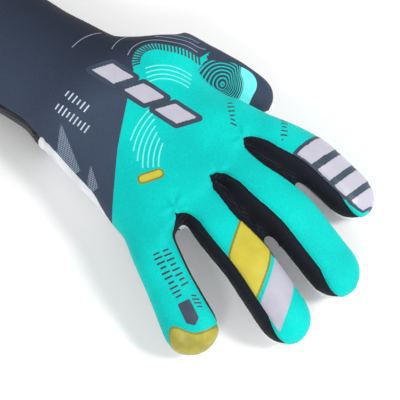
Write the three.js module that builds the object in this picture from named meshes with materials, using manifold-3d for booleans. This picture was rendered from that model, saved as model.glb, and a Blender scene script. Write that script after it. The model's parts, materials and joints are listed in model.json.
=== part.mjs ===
// Goalkeeper glove for the right hand, lying palm down with its fingers slightly curled.
// Millimetres. +Y runs from the cuff to the fingertips, +Z is the back of the hand and the
// thumb is on the -X side. Every seam between two sewn panels is a narrow gap.
import * as THREE from "three";
import { mergeVertices } from "three/addons/utils/BufferGeometryUtils.js";
import Module from "manifold-3d";

const wasm = await Module();
wasm.setup();

// ---------------------------------------------------------------- driving dimensions
const SEAM = 0.5; // gap along a seam between two panels
const HINGE_GAP = 0.8; // gap at a hinge line, before its relief opens it
const HINGE_SPARE = 4; // degrees of notch beyond each limit
const HINGE_SPLAY = 0.4; // share of a finger's splay that its hinge line follows
const SECTION_POWER = 2.3; // squareness of a finger's section (2 is an ellipse)
const HAND_POWER = 2.5;

const BACK_WALL = 3.6; // foam and knit of the back panels
const PALM_WALL = 5.4; // latex foam and lining of the palm
const FINGER_PALM_WALL = 4.2;
const GUSSET_WALL = 1.6; // mesh strip between back and palm
const CUFF_WALL = 3.2;
const LINING = 0.8;
const LINING_GAP = 1.2;
const PRINT_LIFT = 0.7; // clearance under a raised print
const PRINT = 1.1; // thickness of a raised print

const KNUCKLE_FLEX = 60; // degrees of bend at a finger's root
const KNUCKLE_BACK = 10; // degrees it opens the other way
const MIDDLE_FLEX = 60;
const MIDDLE_BACK = 10;
const THUMB_OPEN = 30;
const THUMB_FLEX = 40;
const WRIST_BEND = 20;
const PIVOT_DROP = 0.4; // hinge line below the middle of the section, as a share of its half height

// Root, middle joint and tip of each finger, with its half width and half height there.
// roll tips the back of the finger towards the thumb when it is negative. seams are the
// angles in the section, from the little-finger side towards the back, where panels meet.
const FINGERS = [
  {
    name: "index", root: [-41.8, 3, 25.5], middle: [-46, 38, 24], tip: [-46, 80, 9.5],
    rootHalf: [12.4, 10.4], half: [14.2, 10.6], roll: -25,
    seams: { back: [42, 205], gussets: { inner: [-35, 42] }, palm: [205, 325] },
    cut: [12, 1.6],
  },
  {
    name: "middle", root: [-16, 8.5, 28], middle: [-10.8, 51, 27], tip: [-2, 100, 10.5],
    rootHalf: [12.7, 10.8], half: [14.3, 11], roll: -18,
    seams: {
      back: [46, 152], gussets: { outer: [152, 208], inner: [-35, 46] }, palm: [208, 325],
    },
    cut: [6, 6],
  },
  {
    name: "ring", root: [11.8, 6.5, 27], middle: [22.5, 49, 25.5], tip: [36.2, 94.5, 10],
    rootHalf: [13.5, 10.9], half: [15.1, 11.1], roll: -12,
    seams: {
      back: [46, 152], gussets: { outer: [152, 208], inner: [-35, 46] }, palm: [208, 325],
    },
    cut: [1.6, 10],
  },
  {
    name: "little", root: [36.8, -7, 23], middle: [51.5, 21, 21.8], tip: [71, 58.5, 9.5],
    rootHalf: [12.8, 10.2], half: [13.4, 10.3], roll: 5,
    seams: { back: [-25, 150], gussets: { outer: [150, 210] }, palm: [210, 335] },
    cut: [1.6, 12],
  },
];

const THUMB = {
  name: "thumb", root: [-60, -48.5, 18.6], middle: [-63.4, -26, 16.2], tip: [-65, -1, 10],
  rootHalf: [11.7, 10.6], half: [12, 10.4], roll: -8,
  seams: { back: [20, 200], gussets: { inner: [-40, 20] }, palm: [200, 320] },
};
const THUMB_PIVOT_SIDE = -6.5; // the opening hinge's distance from the thumb's middle line

// Outline of the hand at stations along Y: thumb edge, little-finger edge, bottom and top.
const HAND_STATIONS = [
  { y: -104, x0: -39.5, x1: 34, z0: 1, z1: 44 },
  { y: -90, x0: -40, x1: 34.5, z0: -2, z1: 44.5 },
  { y: -80, x0: -48.5, x1: 35.4, z0: -3.5, z1: 45 },
  { y: -71, x0: -58.5, x1: 37, z0: -3.5, z1: 44 },
  { y: -63, x0: -66, x1: 38.6, z0: -3.5, z1: 43 },
  { y: -48, x0: -70.5, x1: 41.4, z0: -3.5, z1: 42.5 },
  { y: -45, x0: -46, x1: 41.8, z0: -3.5, z1: 42.4 },
  { y: -40, x0: -46.6, x1: 42.6, z0: -3, z1: 42 },
  { y: -28, x0: -48.4, x1: 46.2, z0: 0.5, z1: 41.3 },
  { y: -16, x0: -50.4, x1: 50, z0: 6, z1: 40.4 },
  { y: -4, x0: -52.8, x1: 50.6, z0: 12, z1: 39.6 },
  { y: 16, x0: -54, x1: 50.6, z0: 15, z1: 39.4 },
];
const HAND_BACK_SEAM = [14, 200]; // angles where the back panel meets the palm
const WRIST = [-2.5, -95, 21];

const CUFF_STATIONS = [
  { y: -88, x0: -39.6, x1: 34.2, z0: 1, z1: 43.5 },
  { y: -106, x0: -39.6, x1: 33.8, z0: 1.5, z1: 43.5 },
  { y: -122, x0: -35.6, x1: 34.2, z0: 1.5, z1: 44.5 },
  { y: -144, x0: -34.5, x1: 36.5, z0: 1.2, z1: 46 },
  { y: -166, x0: -38.5, x1: 39.5, z0: 1, z1: 48 },
];
const CUFF_BACK_SEAM = [14, 192];
const BINDING_DEPTH = 7; // height of the bound edge at the glove's opening

// ---------------------------------------------------------------- colours
const TURQUOISE = { color: 0x06cfc4, roughness: 0.72 };
const NAVY = { color: 0x333f52, roughness: 0.78 };
const LATEX = { color: 0xf0f0ee, roughness: 0.9 };
const MESH = { color: 0x0e0f18, roughness: 0.85 };
const GREY_PRINT = { color: 0xd6d6e0, roughness: 0.45 };
const YELLOW_PRINT = { color: 0xe0d64e, roughness: 0.45 };
const KNIT = { color: 0x1c2029, roughness: 0.92 };

const rad = THREE.MathUtils.degToRad;
const lerp = THREE.MathUtils.lerp;
const glove = new THREE.Group();
const body = new THREE.Group();
glove.add(body);

// ---------------------------------------------------------------- closed panels
// A panel is a thick sheet: two grids of points, outer and inner, joined round the edge.
// ring joins each row's last point to its first, which makes a sleeve.
function sheet(outer, inner, ring = false) {
  const rows = outer.length;
  const columns = outer[0].length;
  const positions = [];
  for (const grid of [outer, inner]) {
    for (const row of grid) {
      for (const p of row) positions.push(p.x, p.y, p.z);
    }
  }
  const at = (side, i, j) => side * rows * columns + i * columns + (j % columns);
  const triangles = [];
  const quad = (a, b, c, d) => triangles.push(a, b, c, a, c, d);
  const spans = ring ? columns : columns - 1;
  for (let i = 0; i + 1 < rows; i += 1) {
    for (let j = 0; j < spans; j += 1) {
      quad(at(0, i, j), at(0, i, j + 1), at(0, i + 1, j + 1), at(0, i + 1, j));
      quad(at(1, i, j), at(1, i + 1, j), at(1, i + 1, j + 1), at(1, i, j + 1));
    }
    if (!ring) {
      const last = columns - 1;
      quad(at(0, i, 0), at(0, i + 1, 0), at(1, i + 1, 0), at(1, i, 0));
      quad(at(0, i + 1, last), at(0, i, last), at(1, i, last), at(1, i + 1, last));
    }
  }
  for (let j = 0; j < spans; j += 1) {
    const end = rows - 1;
    quad(at(0, 0, j + 1), at(0, 0, j), at(1, 0, j), at(1, 0, j + 1));
    quad(at(0, end, j), at(0, end, j + 1), at(1, end, j + 1), at(1, end, j));
  }
  return facingOut(positions, triangles);
}

function facingOut(positions, triangles) {
  const corner = (k) => new THREE.Vector3().fromArray(positions, 3 * triangles[k]);
  let volume = 0;
  for (let k = 0; k < triangles.length; k += 3) {
    volume += corner(k).dot(corner(k + 1).cross(corner(k + 2)));
  }
  const order = volume < 0 ? triangles.slice().reverse() : triangles;
  const geometry = new THREE.BufferGeometry();
  geometry.setAttribute("position", new THREE.Float32BufferAttribute(positions, 3));
  geometry.setIndex(order);
  return geometry;
}

// A solid with eight corners: four of one end face, then the matching four of the other.
function block(corners) {
  const points = corners.map((c) => new THREE.Vector3(...c));
  return sheet([points.slice(0, 2), [points[3], points[2]]],
    [points.slice(4, 6), [points[7], points[6]]]);
}

function add(name, geometry, finish) {
  const material = new THREE.MeshStandardMaterial({ metalness: 0, ...finish });
  const mesh = new THREE.Mesh(geometry, material);
  geometry.computeVertexNormals();
  mesh.name = name;
  body.add(mesh);
  return mesh;
}

// ---------------------------------------------------------------- cuts
function solid(geometry) {
  const bare = geometry.clone();
  bare.deleteAttribute("normal");
  bare.deleteAttribute("uv");
  const merged = mergeVertices(bare, 1e-4);
  return new wasm.Manifold(new wasm.Mesh({
    numProp: 3,
    vertProperties: new Float32Array(merged.attributes.position.array),
    triVerts: new Uint32Array(merged.index.array),
  }));
}

// What is left of a panel after the cutters, without loose crumbs.
function trimmed(geometry, cutters) {
  let rest = solid(geometry);
  for (const cutter of cutters) rest = rest.subtract(solid(cutter));
  const pieces = rest.decompose().sort((a, b) => b.volume() - a.volume());
  const mesh = pieces[0].getMesh();
  const cut = new THREE.BufferGeometry();
  cut.setAttribute("position", new THREE.Float32BufferAttribute(mesh.vertProperties, 3));
  cut.setIndex(Array.from(mesh.triVerts));
  return cut;
}

// ---------------------------------------------------------------- local frames
// A frame looks forward along the finger; side points to the little finger, up to the back.
function frameBetween(from, to, roll) {
  const origin = new THREE.Vector3(...from);
  const end = new THREE.Vector3(...to);
  const forward = end.clone().sub(origin);
  const length = forward.length();
  forward.normalize();
  const level = forward.clone().cross(new THREE.Vector3(0, 0, 1)).normalize();
  const rise = level.clone().cross(forward);
  const c = Math.cos(rad(roll));
  const s = Math.sin(rad(roll));
  const side = level.clone().multiplyScalar(c).addScaledVector(rise, -s);
  const up = rise.clone().multiplyScalar(c).addScaledVector(level, s);
  return { origin, forward, side, up, length };
}

function place(frame, across, along, above) {
  return frame.origin.clone()
    .addScaledVector(frame.side, across)
    .addScaledVector(frame.forward, along)
    .addScaledVector(frame.up, above);
}

// Unit point of a superellipse at an angle: [across, above].
function section(angle, power) {
  const c = Math.cos(rad(angle));
  const s = Math.sin(rad(angle));
  return [
    Math.sign(c) * Math.abs(c) ** (2 / power),
    Math.sign(s) * Math.abs(s) ** (2 / power),
  ];
}

// How far a face stands back from its hinge line at a height above or below the pivot, so
// that the bend closes the notch without the two faces meeting.
function relief(height, flex, back) {
  const angle = (height < 0 ? flex : back) + HINGE_SPARE;
  return HINGE_GAP / 2 + Math.abs(height) * Math.tan(rad(angle / 2));
}

// ---------------------------------------------------------------- fingers and thumb
// One segment is a tube: start and end give [half width, half height]. A tip segment ends
// in a dome. notch gives a point's stand-off from the hinge at each end of the tube.
function segmentPanel(frame, shape, angles, wall) {
  const [from, to] = angles;
  const rows = shape.tip ? 9 : 4;
  const columns = Math.max(3, Math.round((to - from) / 26) + 1);
  const domeRows = 6;
  const straight = shape.tip ? frame.length - shape.dome : frame.length;
  const outer = [];
  const inner = [];
  for (let i = 0; i < rows; i += 1) {
    const inDome = shape.tip && i >= rows - domeRows;
    const phi = inDome ? rad((82 * (i - (rows - domeRows))) / (domeRows - 1)) : 0;
    const t = inDome ? 1 : i / (rows - (shape.tip ? domeRows : 1));
    const grow = Math.min(1, (t * straight) / shape.growth);
    const w = lerp(shape.start[0], shape.end[0], grow);
    const h = lerp(shape.start[1], shape.end[1], grow);
    const shrink = Math.cos(phi);
    const seam = THREE.MathUtils.radToDeg(SEAM / 2 / Math.max(1.6, Math.min(w, h) * shrink));
    const rowOuter = [];
    const rowInner = [];
    for (let j = 0; j < columns; j += 1) {
      const angle = lerp(from + seam, to - seam, j / (columns - 1));
      const [c, s] = section(angle, SECTION_POWER);
      const reach = (thick) => {
        const across = (w - thick) * shrink * c;
        const above = (h - thick) * shrink * s;
        const start = shape.notchStart(across, above);
        const end = shape.tip
          ? straight + (shape.dome - thick) * Math.sin(phi)
          : frame.length - shape.notchEnd(across, above);
        const along = inDome ? end : lerp(start, shape.tip ? straight : end, t);
        return place(frame, across, along, above);
      };
      rowOuter.push(reach(0));
      rowInner.push(reach(wall));
    }
    outer.push(rowOuter);
    inner.push(rowInner);
  }
  return sheet(outer, inner);
}

function segmentNodes(name, frame, shape, seams, finish) {
  const panels = [["back", seams.back, BACK_WALL, finish.back]];
  panels.push(["palm", seams.palm, FINGER_PALM_WALL, LATEX]);
  for (const [side, angles] of Object.entries(seams.gussets)) {
    panels.push([`${side}_gusset`, angles, GUSSET_WALL, MESH]);
  }
  for (const [part, angles, wall, colour] of panels) {
    add(`${name}_${part}`, segmentPanel(frame, shape, angles, wall), colour);
  }
}

// A finger's joints all turn about one level line. It follows only part of the finger's
// splay, so that bent fingers stay beside each other.
function hingeLine(forward) {
  const splay = HINGE_SPLAY * Math.atan2(forward.x, forward.y);
  return new THREE.Vector3(Math.cos(splay), -Math.sin(splay), 0);
}

// A joint's own frame: forward is square to its axis, and pivot is its height above at.
function jointFrame(at, forward, axis, pivot) {
  const ahead = forward.clone().addScaledVector(axis, -forward.dot(axis)).normalize();
  const up = axis.clone().cross(ahead);
  return { at, origin: at.clone().addScaledVector(up, pivot), forward: ahead, axis, up, pivot };
}

// The stand-off of a segment's end face from a joint. sign is 1 before it, -1 past it.
function bent(joint, frame, sign, flex, back) {
  return (across, above) => {
    const offset = place({ ...frame, origin: new THREE.Vector3() }, across, 0, above);
    const straight = frame.forward.dot(joint.forward);
    const gap = relief(offset.dot(joint.up) - joint.pivot, flex, back);
    return (sign * offset.dot(joint.forward) + gap) / straight;
  };
}

function digit(finger) {
  const base = frameBetween(finger.root, finger.middle, finger.roll);
  const tip = frameBetween(finger.middle, finger.tip, finger.roll);
  const line = hingeLine(base.forward);
  const halfway = base.forward.clone().add(tip.forward);
  const knuckle = jointFrame(base.origin, base.forward, line, -PIVOT_DROP * finger.rootHalf[1]);
  const middle = jointFrame(tip.origin, halfway, line, -PIVOT_DROP * finger.half[1]);
  const flex = finger.flex ?? MIDDLE_FLEX;
  return {
    base, tip, knuckle, middle,
    baseShape: {
      tip: false, start: finger.rootHalf, end: finger.half, growth: 0.9 * base.length,
      notchStart: finger.rootNotch ?? bent(knuckle, base, -1, KNUCKLE_FLEX, KNUCKLE_BACK),
      notchEnd: bent(middle, base, 1, flex, MIDDLE_BACK),
    },
    tipShape: {
      tip: true, start: finger.half, end: finger.half, growth: tip.length,
      dome: 1.15 * finger.half[0], notchStart: bent(middle, tip, -1, flex, MIDDLE_BACK),
      notchEnd: () => 0,
    },
  };
}

for (const finger of FINGERS) {
  const parts = digit(finger);
  finger.parts = parts;
  const finish = { back: TURQUOISE };
  segmentNodes(`${finger.name}_base`, parts.base, parts.baseShape, finger.seams, finish);
  segmentNodes(`${finger.name}_tip`, parts.tip, parts.tipShape, finger.seams, finish);
}

// The thumb opens outwards about an upright hinge near its outer edge.
THUMB.flex = THUMB_FLEX;
THUMB.rootNotch = (across) => {
  const past = across - THUMB_PIVOT_SIDE;
  return HINGE_GAP / 2 + (past < 0 ? -past * Math.tan(rad(THUMB_OPEN / 2)) : 0);
};
THUMB.parts = digit(THUMB);
segmentNodes("thumb_base", THUMB.parts.base, THUMB.parts.baseShape, THUMB.seams,
  { back: TURQUOISE });
segmentNodes("thumb_tip", THUMB.parts.tip, THUMB.parts.tipShape, THUMB.seams, { back: NAVY });

// ---------------------------------------------------------------- hand and cuff shells
function stationAt(stations, y) {
  let i = 0;
  const rising = stations[1].y > stations[0].y;
  while (i + 2 < stations.length && (rising ? y > stations[i + 1].y : y < stations[i + 1].y)) {
    i += 1;
  }
  const a = stations[i];
  const b = stations[i + 1];
  const t = (y - a.y) / (b.y - a.y);
  const x0 = lerp(a.x0, b.x0, t);
  const x1 = lerp(a.x1, b.x1, t);
  const z0 = lerp(a.z0, b.z0, t);
  const z1 = lerp(a.z1, b.z1, t);
  return { xc: (x0 + x1) / 2, w: (x1 - x0) / 2, zc: (z0 + z1) / 2, h: (z1 - z0) / 2 };
}

// A point of the shell, inset by a distance from its outside. The underside is flattened.
function shellPoint(stations, y, angle, inset) {
  const s = stationAt(stations, y);
  const [c, r] = section(angle, HAND_POWER);
  const x = s.xc + (s.w - inset) * c;
  const z = Math.max(inset, s.zc + (s.h - inset) * r);
  return new THREE.Vector3(x, y, z);
}

function shellPanel(stations, ys, angles, columns, insets, warp = (p) => p) {
  const grid = (inset) => ys.map((y) => {
    const row = [];
    for (let j = 0; j < columns; j += 1) {
      const s = stationAt(stations, y);
      const seam = THREE.MathUtils.radToDeg(SEAM / 2 / s.h);
      const angle = lerp(angles[0] + seam, angles[1] - seam, j / (columns - 1));
      row.push(warp(shellPoint(stations, y, angle, inset)));
    }
    return row;
  });
  return sheet(grid(insets[0]), grid(insets[1]));
}

function sleeve(stations, ys, columns, insets, warp = (p) => p) {
  const grid = (inset) => ys.map((y) => {
    const row = [];
    for (let j = 0; j < columns; j += 1) {
      row.push(warp(shellPoint(stations, y, (360 * j) / columns, inset)));
    }
    return row;
  });
  return sheet(grid(insets[0]), grid(insets[1]), true);
}

// Everything in front of a finger's hinge line, as a prism along the hinge's axis.
function rootCutter(finger) {
  const { knuckle } = finger.parts;
  const tall = 40;
  const ahead = 60;
  const profile = [
    [-relief(-tall, KNUCKLE_FLEX, KNUCKLE_BACK), -tall],
    [-HINGE_GAP / 2, 0],
    [-relief(tall, KNUCKLE_FLEX, KNUCKLE_BACK), tall],
    [ahead, tall],
    [ahead, -tall],
  ];
  return prism({ ...knuckle, side: knuckle.axis }, profile,
    -finger.rootHalf[0] - finger.cut[0], finger.rootHalf[0] + finger.cut[1]);
}

// A convex or notched outline given as [along, above], drawn out from one side to the other.
function prism(frame, profile, from, to) {
  const shape = new THREE.Shape(profile.map(([x, y]) => new THREE.Vector2(x, y)));
  const geometry = new THREE.ExtrudeGeometry(shape, { depth: to - from, bevelEnabled: false });
  const basis = new THREE.Matrix4().makeBasis(frame.forward, frame.up, frame.side);
  basis.setPosition(place(frame, from, 0, 0));
  geometry.applyMatrix4(basis);
  const flat = geometry.clone();
  flat.deleteAttribute("normal");
  flat.deleteAttribute("uv");
  const merged = mergeVertices(flat, 1e-4);
  return facingOut(Array.from(merged.attributes.position.array),
    Array.from(merged.index.array));
}

const thumbFrame = THUMB.parts.base;
const thumbCutter = prism(
  { ...thumbFrame, up: thumbFrame.side, side: thumbFrame.up },
  [
    [-HINGE_GAP / 2 - 20 * Math.tan(rad(THUMB_OPEN / 2)), THUMB_PIVOT_SIDE - 20],
    [-HINGE_GAP / 2, THUMB_PIVOT_SIDE],
    [-HINGE_GAP / 2, THUMB.rootHalf[0] + 1.2],
    [14, THUMB.rootHalf[0] + 1.2],
    [14, THUMB_PIVOT_SIDE - 20],
  ],
  -30, 30,
);

// The hand's rear edge stands off the wrist hinge by its relief.
function wristWarp(direction) {
  return (p) => {
    const away = relief(p.z - WRIST[2], WRIST_BEND, WRIST_BEND);
    const edge = WRIST[1] + direction * away;
    const y = direction > 0 ? Math.max(p.y, edge) : Math.min(p.y, edge);
    return new THREE.Vector3(p.x, y, p.z);
  };
}

const handRows = [-95, -84, -76, -69, -63, -55, -48, -45, -37, -28, -18, -8, 2, 14];
const cutters = [...FINGERS.map(rootCutter), thumbCutter];
const backPanel = shellPanel(HAND_STATIONS, handRows, HAND_BACK_SEAM, 17,
  [0, BACK_WALL], wristWarp(1));
const palmPanel = shellPanel(HAND_STATIONS, handRows,
  [HAND_BACK_SEAM[1], HAND_BACK_SEAM[0] + 360], 13, [0, PALM_WALL], wristWarp(1));
add("hand_back", trimmed(backPanel, cutters), NAVY);
add("hand_palm", trimmed(palmPanel, cutters), LATEX);

// Linings bonded inside the hand, short of the thumb's mouth and the finger roots.
const liningRows = [-84, -76, -69, -63, -55];
const liningInsets = (wall) => [wall + LINING_GAP, wall + LINING_GAP + LINING];
add("hand_back_lining", shellPanel(HAND_STATIONS, liningRows, [20, 160], 13,
  liningInsets(BACK_WALL)), KNIT);
add("hand_palm_lining", shellPanel(HAND_STATIONS, liningRows, [215, 325], 9,
  liningInsets(PALM_WALL)), KNIT);

const cuffRows = [-95, -104, -122, -144, -158];
add("cuff_back", shellPanel(CUFF_STATIONS, cuffRows, CUFF_BACK_SEAM, 13,
  [0, CUFF_WALL], wristWarp(-1)), NAVY);
add("cuff_palm", shellPanel(CUFF_STATIONS, cuffRows,
  [CUFF_BACK_SEAM[1], CUFF_BACK_SEAM[0] + 360], 10, [0, CUFF_WALL], wristWarp(-1)), KNIT);
add("cuff_binding", sleeve(CUFF_STATIONS, [-158 - SEAM, -158 - BINDING_DEPTH], 24,
  [-0.6, CUFF_WALL + 0.4]), MESH);
add("cuff_lining", sleeve(CUFF_STATIONS, [-122, -138, -154], 20,
  liningInsets(CUFF_WALL)), KNIT);
add("wrist_elastic", sleeve(CUFF_STATIONS, [-106, -119], 20,
  liningInsets(CUFF_WALL)), MESH);

// ---------------------------------------------------------------- webs between the fingers
// Each web is a strip of mesh just inside the hand's front edge, between two finger roots.
function web(name, at, direction, size, heights) {
  const [width, depth] = size;
  const forward = new THREE.Vector3(-Math.sin(rad(direction)), Math.cos(rad(direction)), 0);
  const side = new THREE.Vector3(forward.y, -forward.x, 0);
  const grid = (depthShift) => [heights[0], (heights[0] + heights[1]) / 2, heights[1]].map((z) => (
    [-1, -0.5, 0, 0.5, 1].map((k) => new THREE.Vector3(at[0], at[1], z)
      .addScaledVector(side, (k * width) / 2)
      .addScaledVector(forward, depthShift - 1.2 * k * k))
  ));
  add(name, sheet(grid(0), grid(-depth)), MESH);
}

web("index_middle_web", [-29, -3, 0], 0, [9, 1.6], [19.5, 32.5]);
web("middle_ring_web", [-2, 0.5, 0], -8, [9, 1.6], [20, 34.5]);
web("ring_little_web", [24, -9, 0], -24, [9, 1.6], [18.5, 32.5]);
web("thumb_web", [-44.5, -54, 0], 35, [9, 1.6], [11, 31.5]);

// ---------------------------------------------------------------- raised prints
const topHeight = (x, y) => {
  const s = stationAt(HAND_STATIONS, y);
  const across = Math.min(0.98, Math.abs((x - s.xc) / s.w));
  return s.zc + s.h * (1 - across ** HAND_POWER) ** (1 / HAND_POWER);
};

// A print over the back of the hand, from the plan positions of its four corners.
function handPrint(name, corners, finish, columns = 4, rows = 6) {
  const [a, b, c, d] = corners.map(([x, y]) => new THREE.Vector2(x, y));
  const grid = (lift) => {
    const out = [];
    for (let i = 0; i < rows; i += 1) {
      const left = a.clone().lerp(d, i / (rows - 1));
      const right = b.clone().lerp(c, i / (rows - 1));
      const row = [];
      for (let j = 0; j < columns; j += 1) {
        const p = left.clone().lerp(right, j / (columns - 1));
        row.push(new THREE.Vector3(p.x, p.y, topHeight(p.x, p.y) + lift));
      }
      out.push(row);
    }
    return out;
  };
  add(name, sheet(grid(PRINT_LIFT + PRINT), grid(PRINT_LIFT)), finish);
}

// Three slanted bars in a row along the back, all alike.
const BAR = [[0, 0], [-11, 6.5], [-12, 21.5], [-1, 15]];
for (let k = 0; k < 3; k += 1) {
  const corners = BAR.map(([x, y]) => [x - 8 - 1.5 * k, y - 81.5 + 20.5 * k]);
  handPrint(`back_bar_${k + 1}`, corners, GREY_PRINT);
}
handPrint("knuckle_tab", [[14, -16], [26, -22.5], [28, -18.5], [16, -12]],
  YELLOW_PRINT, 3, 3);

// A print on a finger. Its four corners are [distance along the segment, angle round it].
function fingerPrint(name, frame, half, corners, finish) {
  const [a, b, c, d] = corners.map(([along, angle]) => new THREE.Vector2(along, angle));
  const grid = (lift) => {
    const out = [];
    for (let i = 0; i <= 4; i += 1) {
      const row = [];
      for (let j = 0; j <= 4; j += 1) {
        const at = a.clone().lerp(d, i / 4).lerp(b.clone().lerp(c, i / 4), j / 4);
        const [across, above] = section(at.y, SECTION_POWER);
        row.push(place(frame, (half[0] + lift) * across, at.x, (half[1] + lift) * above));
      }
      out.push(row);
    }
    return out;
  };
  add(name, sheet(grid(PRINT_LIFT + PRINT), grid(PRINT_LIFT)), finish);
}

const [index, , ring, little] = FINGERS;
fingerPrint("index_grip_print", index.parts.tip, index.half,
  [[4, 80], [4, 165], [27, 160], [27, 84]], GREY_PRINT);
fingerPrint("ring_patch_base", ring.parts.base, ring.half,
  [[34, 60], [22, 138], [38, 138], [40.5, 60]], YELLOW_PRINT);
fingerPrint("ring_patch_tip", ring.parts.tip, ring.half,
  [[4, 56], [4, 92], [8, 88], [14, 56]], YELLOW_PRINT);
fingerPrint("ring_stripe", ring.parts.tip, ring.half,
  [[16, 66], [5, 112], [16, 146], [31, 70]], GREY_PRINT);

// The little finger's cap is a raised shell over its tip, from side to side of the back.
function tipCap(name, finger, angles, finish) {
  const { tip, tipShape } = finger.parts;
  const grid = (lift) => {
    const out = [];
    for (let i = 0; i <= 5; i += 1) {
      const phi = rad(lerp(8, 76, i / 5));
      const row = [];
      for (let j = 0; j <= 6; j += 1) {
        const [c, s] = section(lerp(angles[0], angles[1], j / 6), SECTION_POWER);
        const [w, h] = finger.half.map((d) => (d + lift) * Math.cos(phi));
        const along = tip.length - tipShape.dome + (tipShape.dome + lift) * Math.sin(phi);
        row.push(place(tip, w * c, along, h * s));
      }
      out.push(row);
    }
    return out;
  };
  add(name, sheet(grid(PRINT_LIFT + PRINT), grid(PRINT_LIFT)), finish);
}

tipCap("little_cap", little, [0, 146], YELLOW_PRINT);

// ---------------------------------------------------------------- pull loop under the cuff
function pullLoop() {
  const width = 12;
  const y = -158 - BINDING_DEPTH;
  const path = [[y + 1.5, 7.4], [y - 12, 7.2], [y - 12, 11.2], [y + 1.5, 11]];
  return block([
    [-width / 2, path[0][0] - 2.2, path[0][1]],
    [width / 2, path[0][0] - 2.2, path[0][1]],
    [width / 2, path[1][0], path[1][1]],
    [-width / 2, path[1][0], path[1][1]],
    [-width / 2, path[0][0] - 2.2, path[0][1] + 1.4],
    [width / 2, path[0][0] - 2.2, path[0][1] + 1.4],
    [width / 2, path[1][0], path[1][1] + 1.4],
    [-width / 2, path[1][0], path[1][1] + 1.4],
  ]);
}
add("pull_tab", pullLoop(), MESH);

// ---------------------------------------------------------------- origin
// The origin is the middle of the box's floor: the glove stands on its palm at Z = 0.
const box = new THREE.Box3().setFromObject(body);
const centre = box.getCenter(new THREE.Vector3());
body.position.set(-centre.x, -centre.y, -box.min.z);

export default glove;
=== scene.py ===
"""A goalkeeper's glove for the right hand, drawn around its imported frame.

The glove is one soft skin, cut along its seams into foam, latex and mesh panels. All drawing
is in the glove's pattern frame, in millimetres: X runs towards the little finger, Y towards
the fingertips and Z up, with the knuckles near the origin. metres() takes it to the frame.
"""
import json
import math

import bpy
import numpy as np
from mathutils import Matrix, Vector
from mathutils.bvhtree import BVHTree


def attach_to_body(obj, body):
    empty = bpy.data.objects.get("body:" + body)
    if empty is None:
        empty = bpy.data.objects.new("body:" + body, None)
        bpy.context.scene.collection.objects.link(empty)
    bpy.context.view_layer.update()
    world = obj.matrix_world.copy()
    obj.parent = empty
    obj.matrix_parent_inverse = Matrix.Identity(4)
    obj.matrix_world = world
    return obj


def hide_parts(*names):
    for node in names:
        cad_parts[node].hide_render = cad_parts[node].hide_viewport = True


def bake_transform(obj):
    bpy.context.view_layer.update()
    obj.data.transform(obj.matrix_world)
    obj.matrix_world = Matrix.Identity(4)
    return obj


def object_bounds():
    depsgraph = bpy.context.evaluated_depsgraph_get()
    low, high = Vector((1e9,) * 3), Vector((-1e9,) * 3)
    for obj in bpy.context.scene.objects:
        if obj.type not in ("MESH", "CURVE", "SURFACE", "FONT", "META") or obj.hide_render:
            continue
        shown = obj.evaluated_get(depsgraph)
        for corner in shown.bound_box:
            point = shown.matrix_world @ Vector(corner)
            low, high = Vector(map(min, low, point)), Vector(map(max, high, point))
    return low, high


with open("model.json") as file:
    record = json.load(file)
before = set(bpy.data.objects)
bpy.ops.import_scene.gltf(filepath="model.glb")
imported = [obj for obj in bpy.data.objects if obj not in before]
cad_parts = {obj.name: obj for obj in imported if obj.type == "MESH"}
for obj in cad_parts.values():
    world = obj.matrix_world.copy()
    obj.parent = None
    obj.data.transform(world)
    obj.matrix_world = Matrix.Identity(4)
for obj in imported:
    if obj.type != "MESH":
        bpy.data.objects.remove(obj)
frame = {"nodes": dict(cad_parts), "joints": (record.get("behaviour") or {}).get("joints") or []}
cad_low, cad_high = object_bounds()

MM = 0.001
WRIST = np.array([-2.5, -95.0, 21.0])  # the wrist joint in the pattern frame
WRIST_JOINT = next(j for j in frame["joints"] if j["name"] == "wrist")
SHIFT = np.array(WRIST_JOINT["pos_m"]) / MM - WRIST

# ------------------------------------------------------------------ driving sizes
VOXEL = 2.1  # grid of the skin before it is subdivided
SKIN_ROUNDS = 7  # smoothing rounds that turn the joined tubes into one skin
PUFF = 1.1  # most that the filling may push the skin out
FILL_PRESSURE = 3
FILL_STEPS = 12
CLOTH_STIFFNESS = 30
CLOTH_BENDING = 4
SECTION_POWER = 2.3  # squareness of a finger's section, where 2 is an ellipse
HAND_POWER = 2.5
BACK_THICK = 2.6
PALM_THICK = 3.2
GUSSET_THICK = 1.1
LINING_THICK = 0.7
CUFF_THICK = 2.4
SEAM_DEPTH = 0.9  # how far a seam pulls the skin in
SEAM_WIDTH = 1.3
GUSSET_SINK = 0.9  # the mesh lies this much below the foam
REST_ROUND = 1.2  # softens the edge of the patch that rests on the ground
CUFF_SPLIT = -84.0  # where the hand's panels end and the cuff's begin
MOUTH = -163.0  # edge of the cuff
KNUCKLE_CUT = 5.0  # a finger's own panels start this far beyond its root

# Outline of the hand and cuff along Y: thumb edge, little-finger edge, bottom and top.
OUTLINE = np.array([
    [-184, -41.5, 41.0, 1.0, 49.0],
    [-166, -38.5, 39.5, 1.0, 48.0],
    [-144, -34.5, 36.5, 1.2, 46.0],
    [-122, -35.6, 34.2, 1.5, 44.5],
    [-104, -38.6, 32.6, 1.5, 43.5],
    [-96, -39.6, 32.4, 0.8, 43.8],
    [-90, -40.6, 34.2, -1.6, 44.5],
    [-80, -48.5, 35.4, -3.5, 45.0],
    [-71, -58.5, 37.0, -3.5, 44.0],
    [-63, -66.0, 38.6, -3.5, 43.0],
    [-54, -68.5, 40.4, -3.5, 42.7],
    [-46, -58.0, 41.8, -3.5, 42.4],
    [-38, -51.0, 43.0, -3.0, 42.0],
    [-28, -49.4, 46.2, 0.5, 41.3],
    [-16, -50.4, 50.0, 6.0, 40.4],
    [-4, -52.8, 50.6, 12.0, 39.6],
    [8, -54.0, 50.6, 15.0, 39.4],
])
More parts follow.
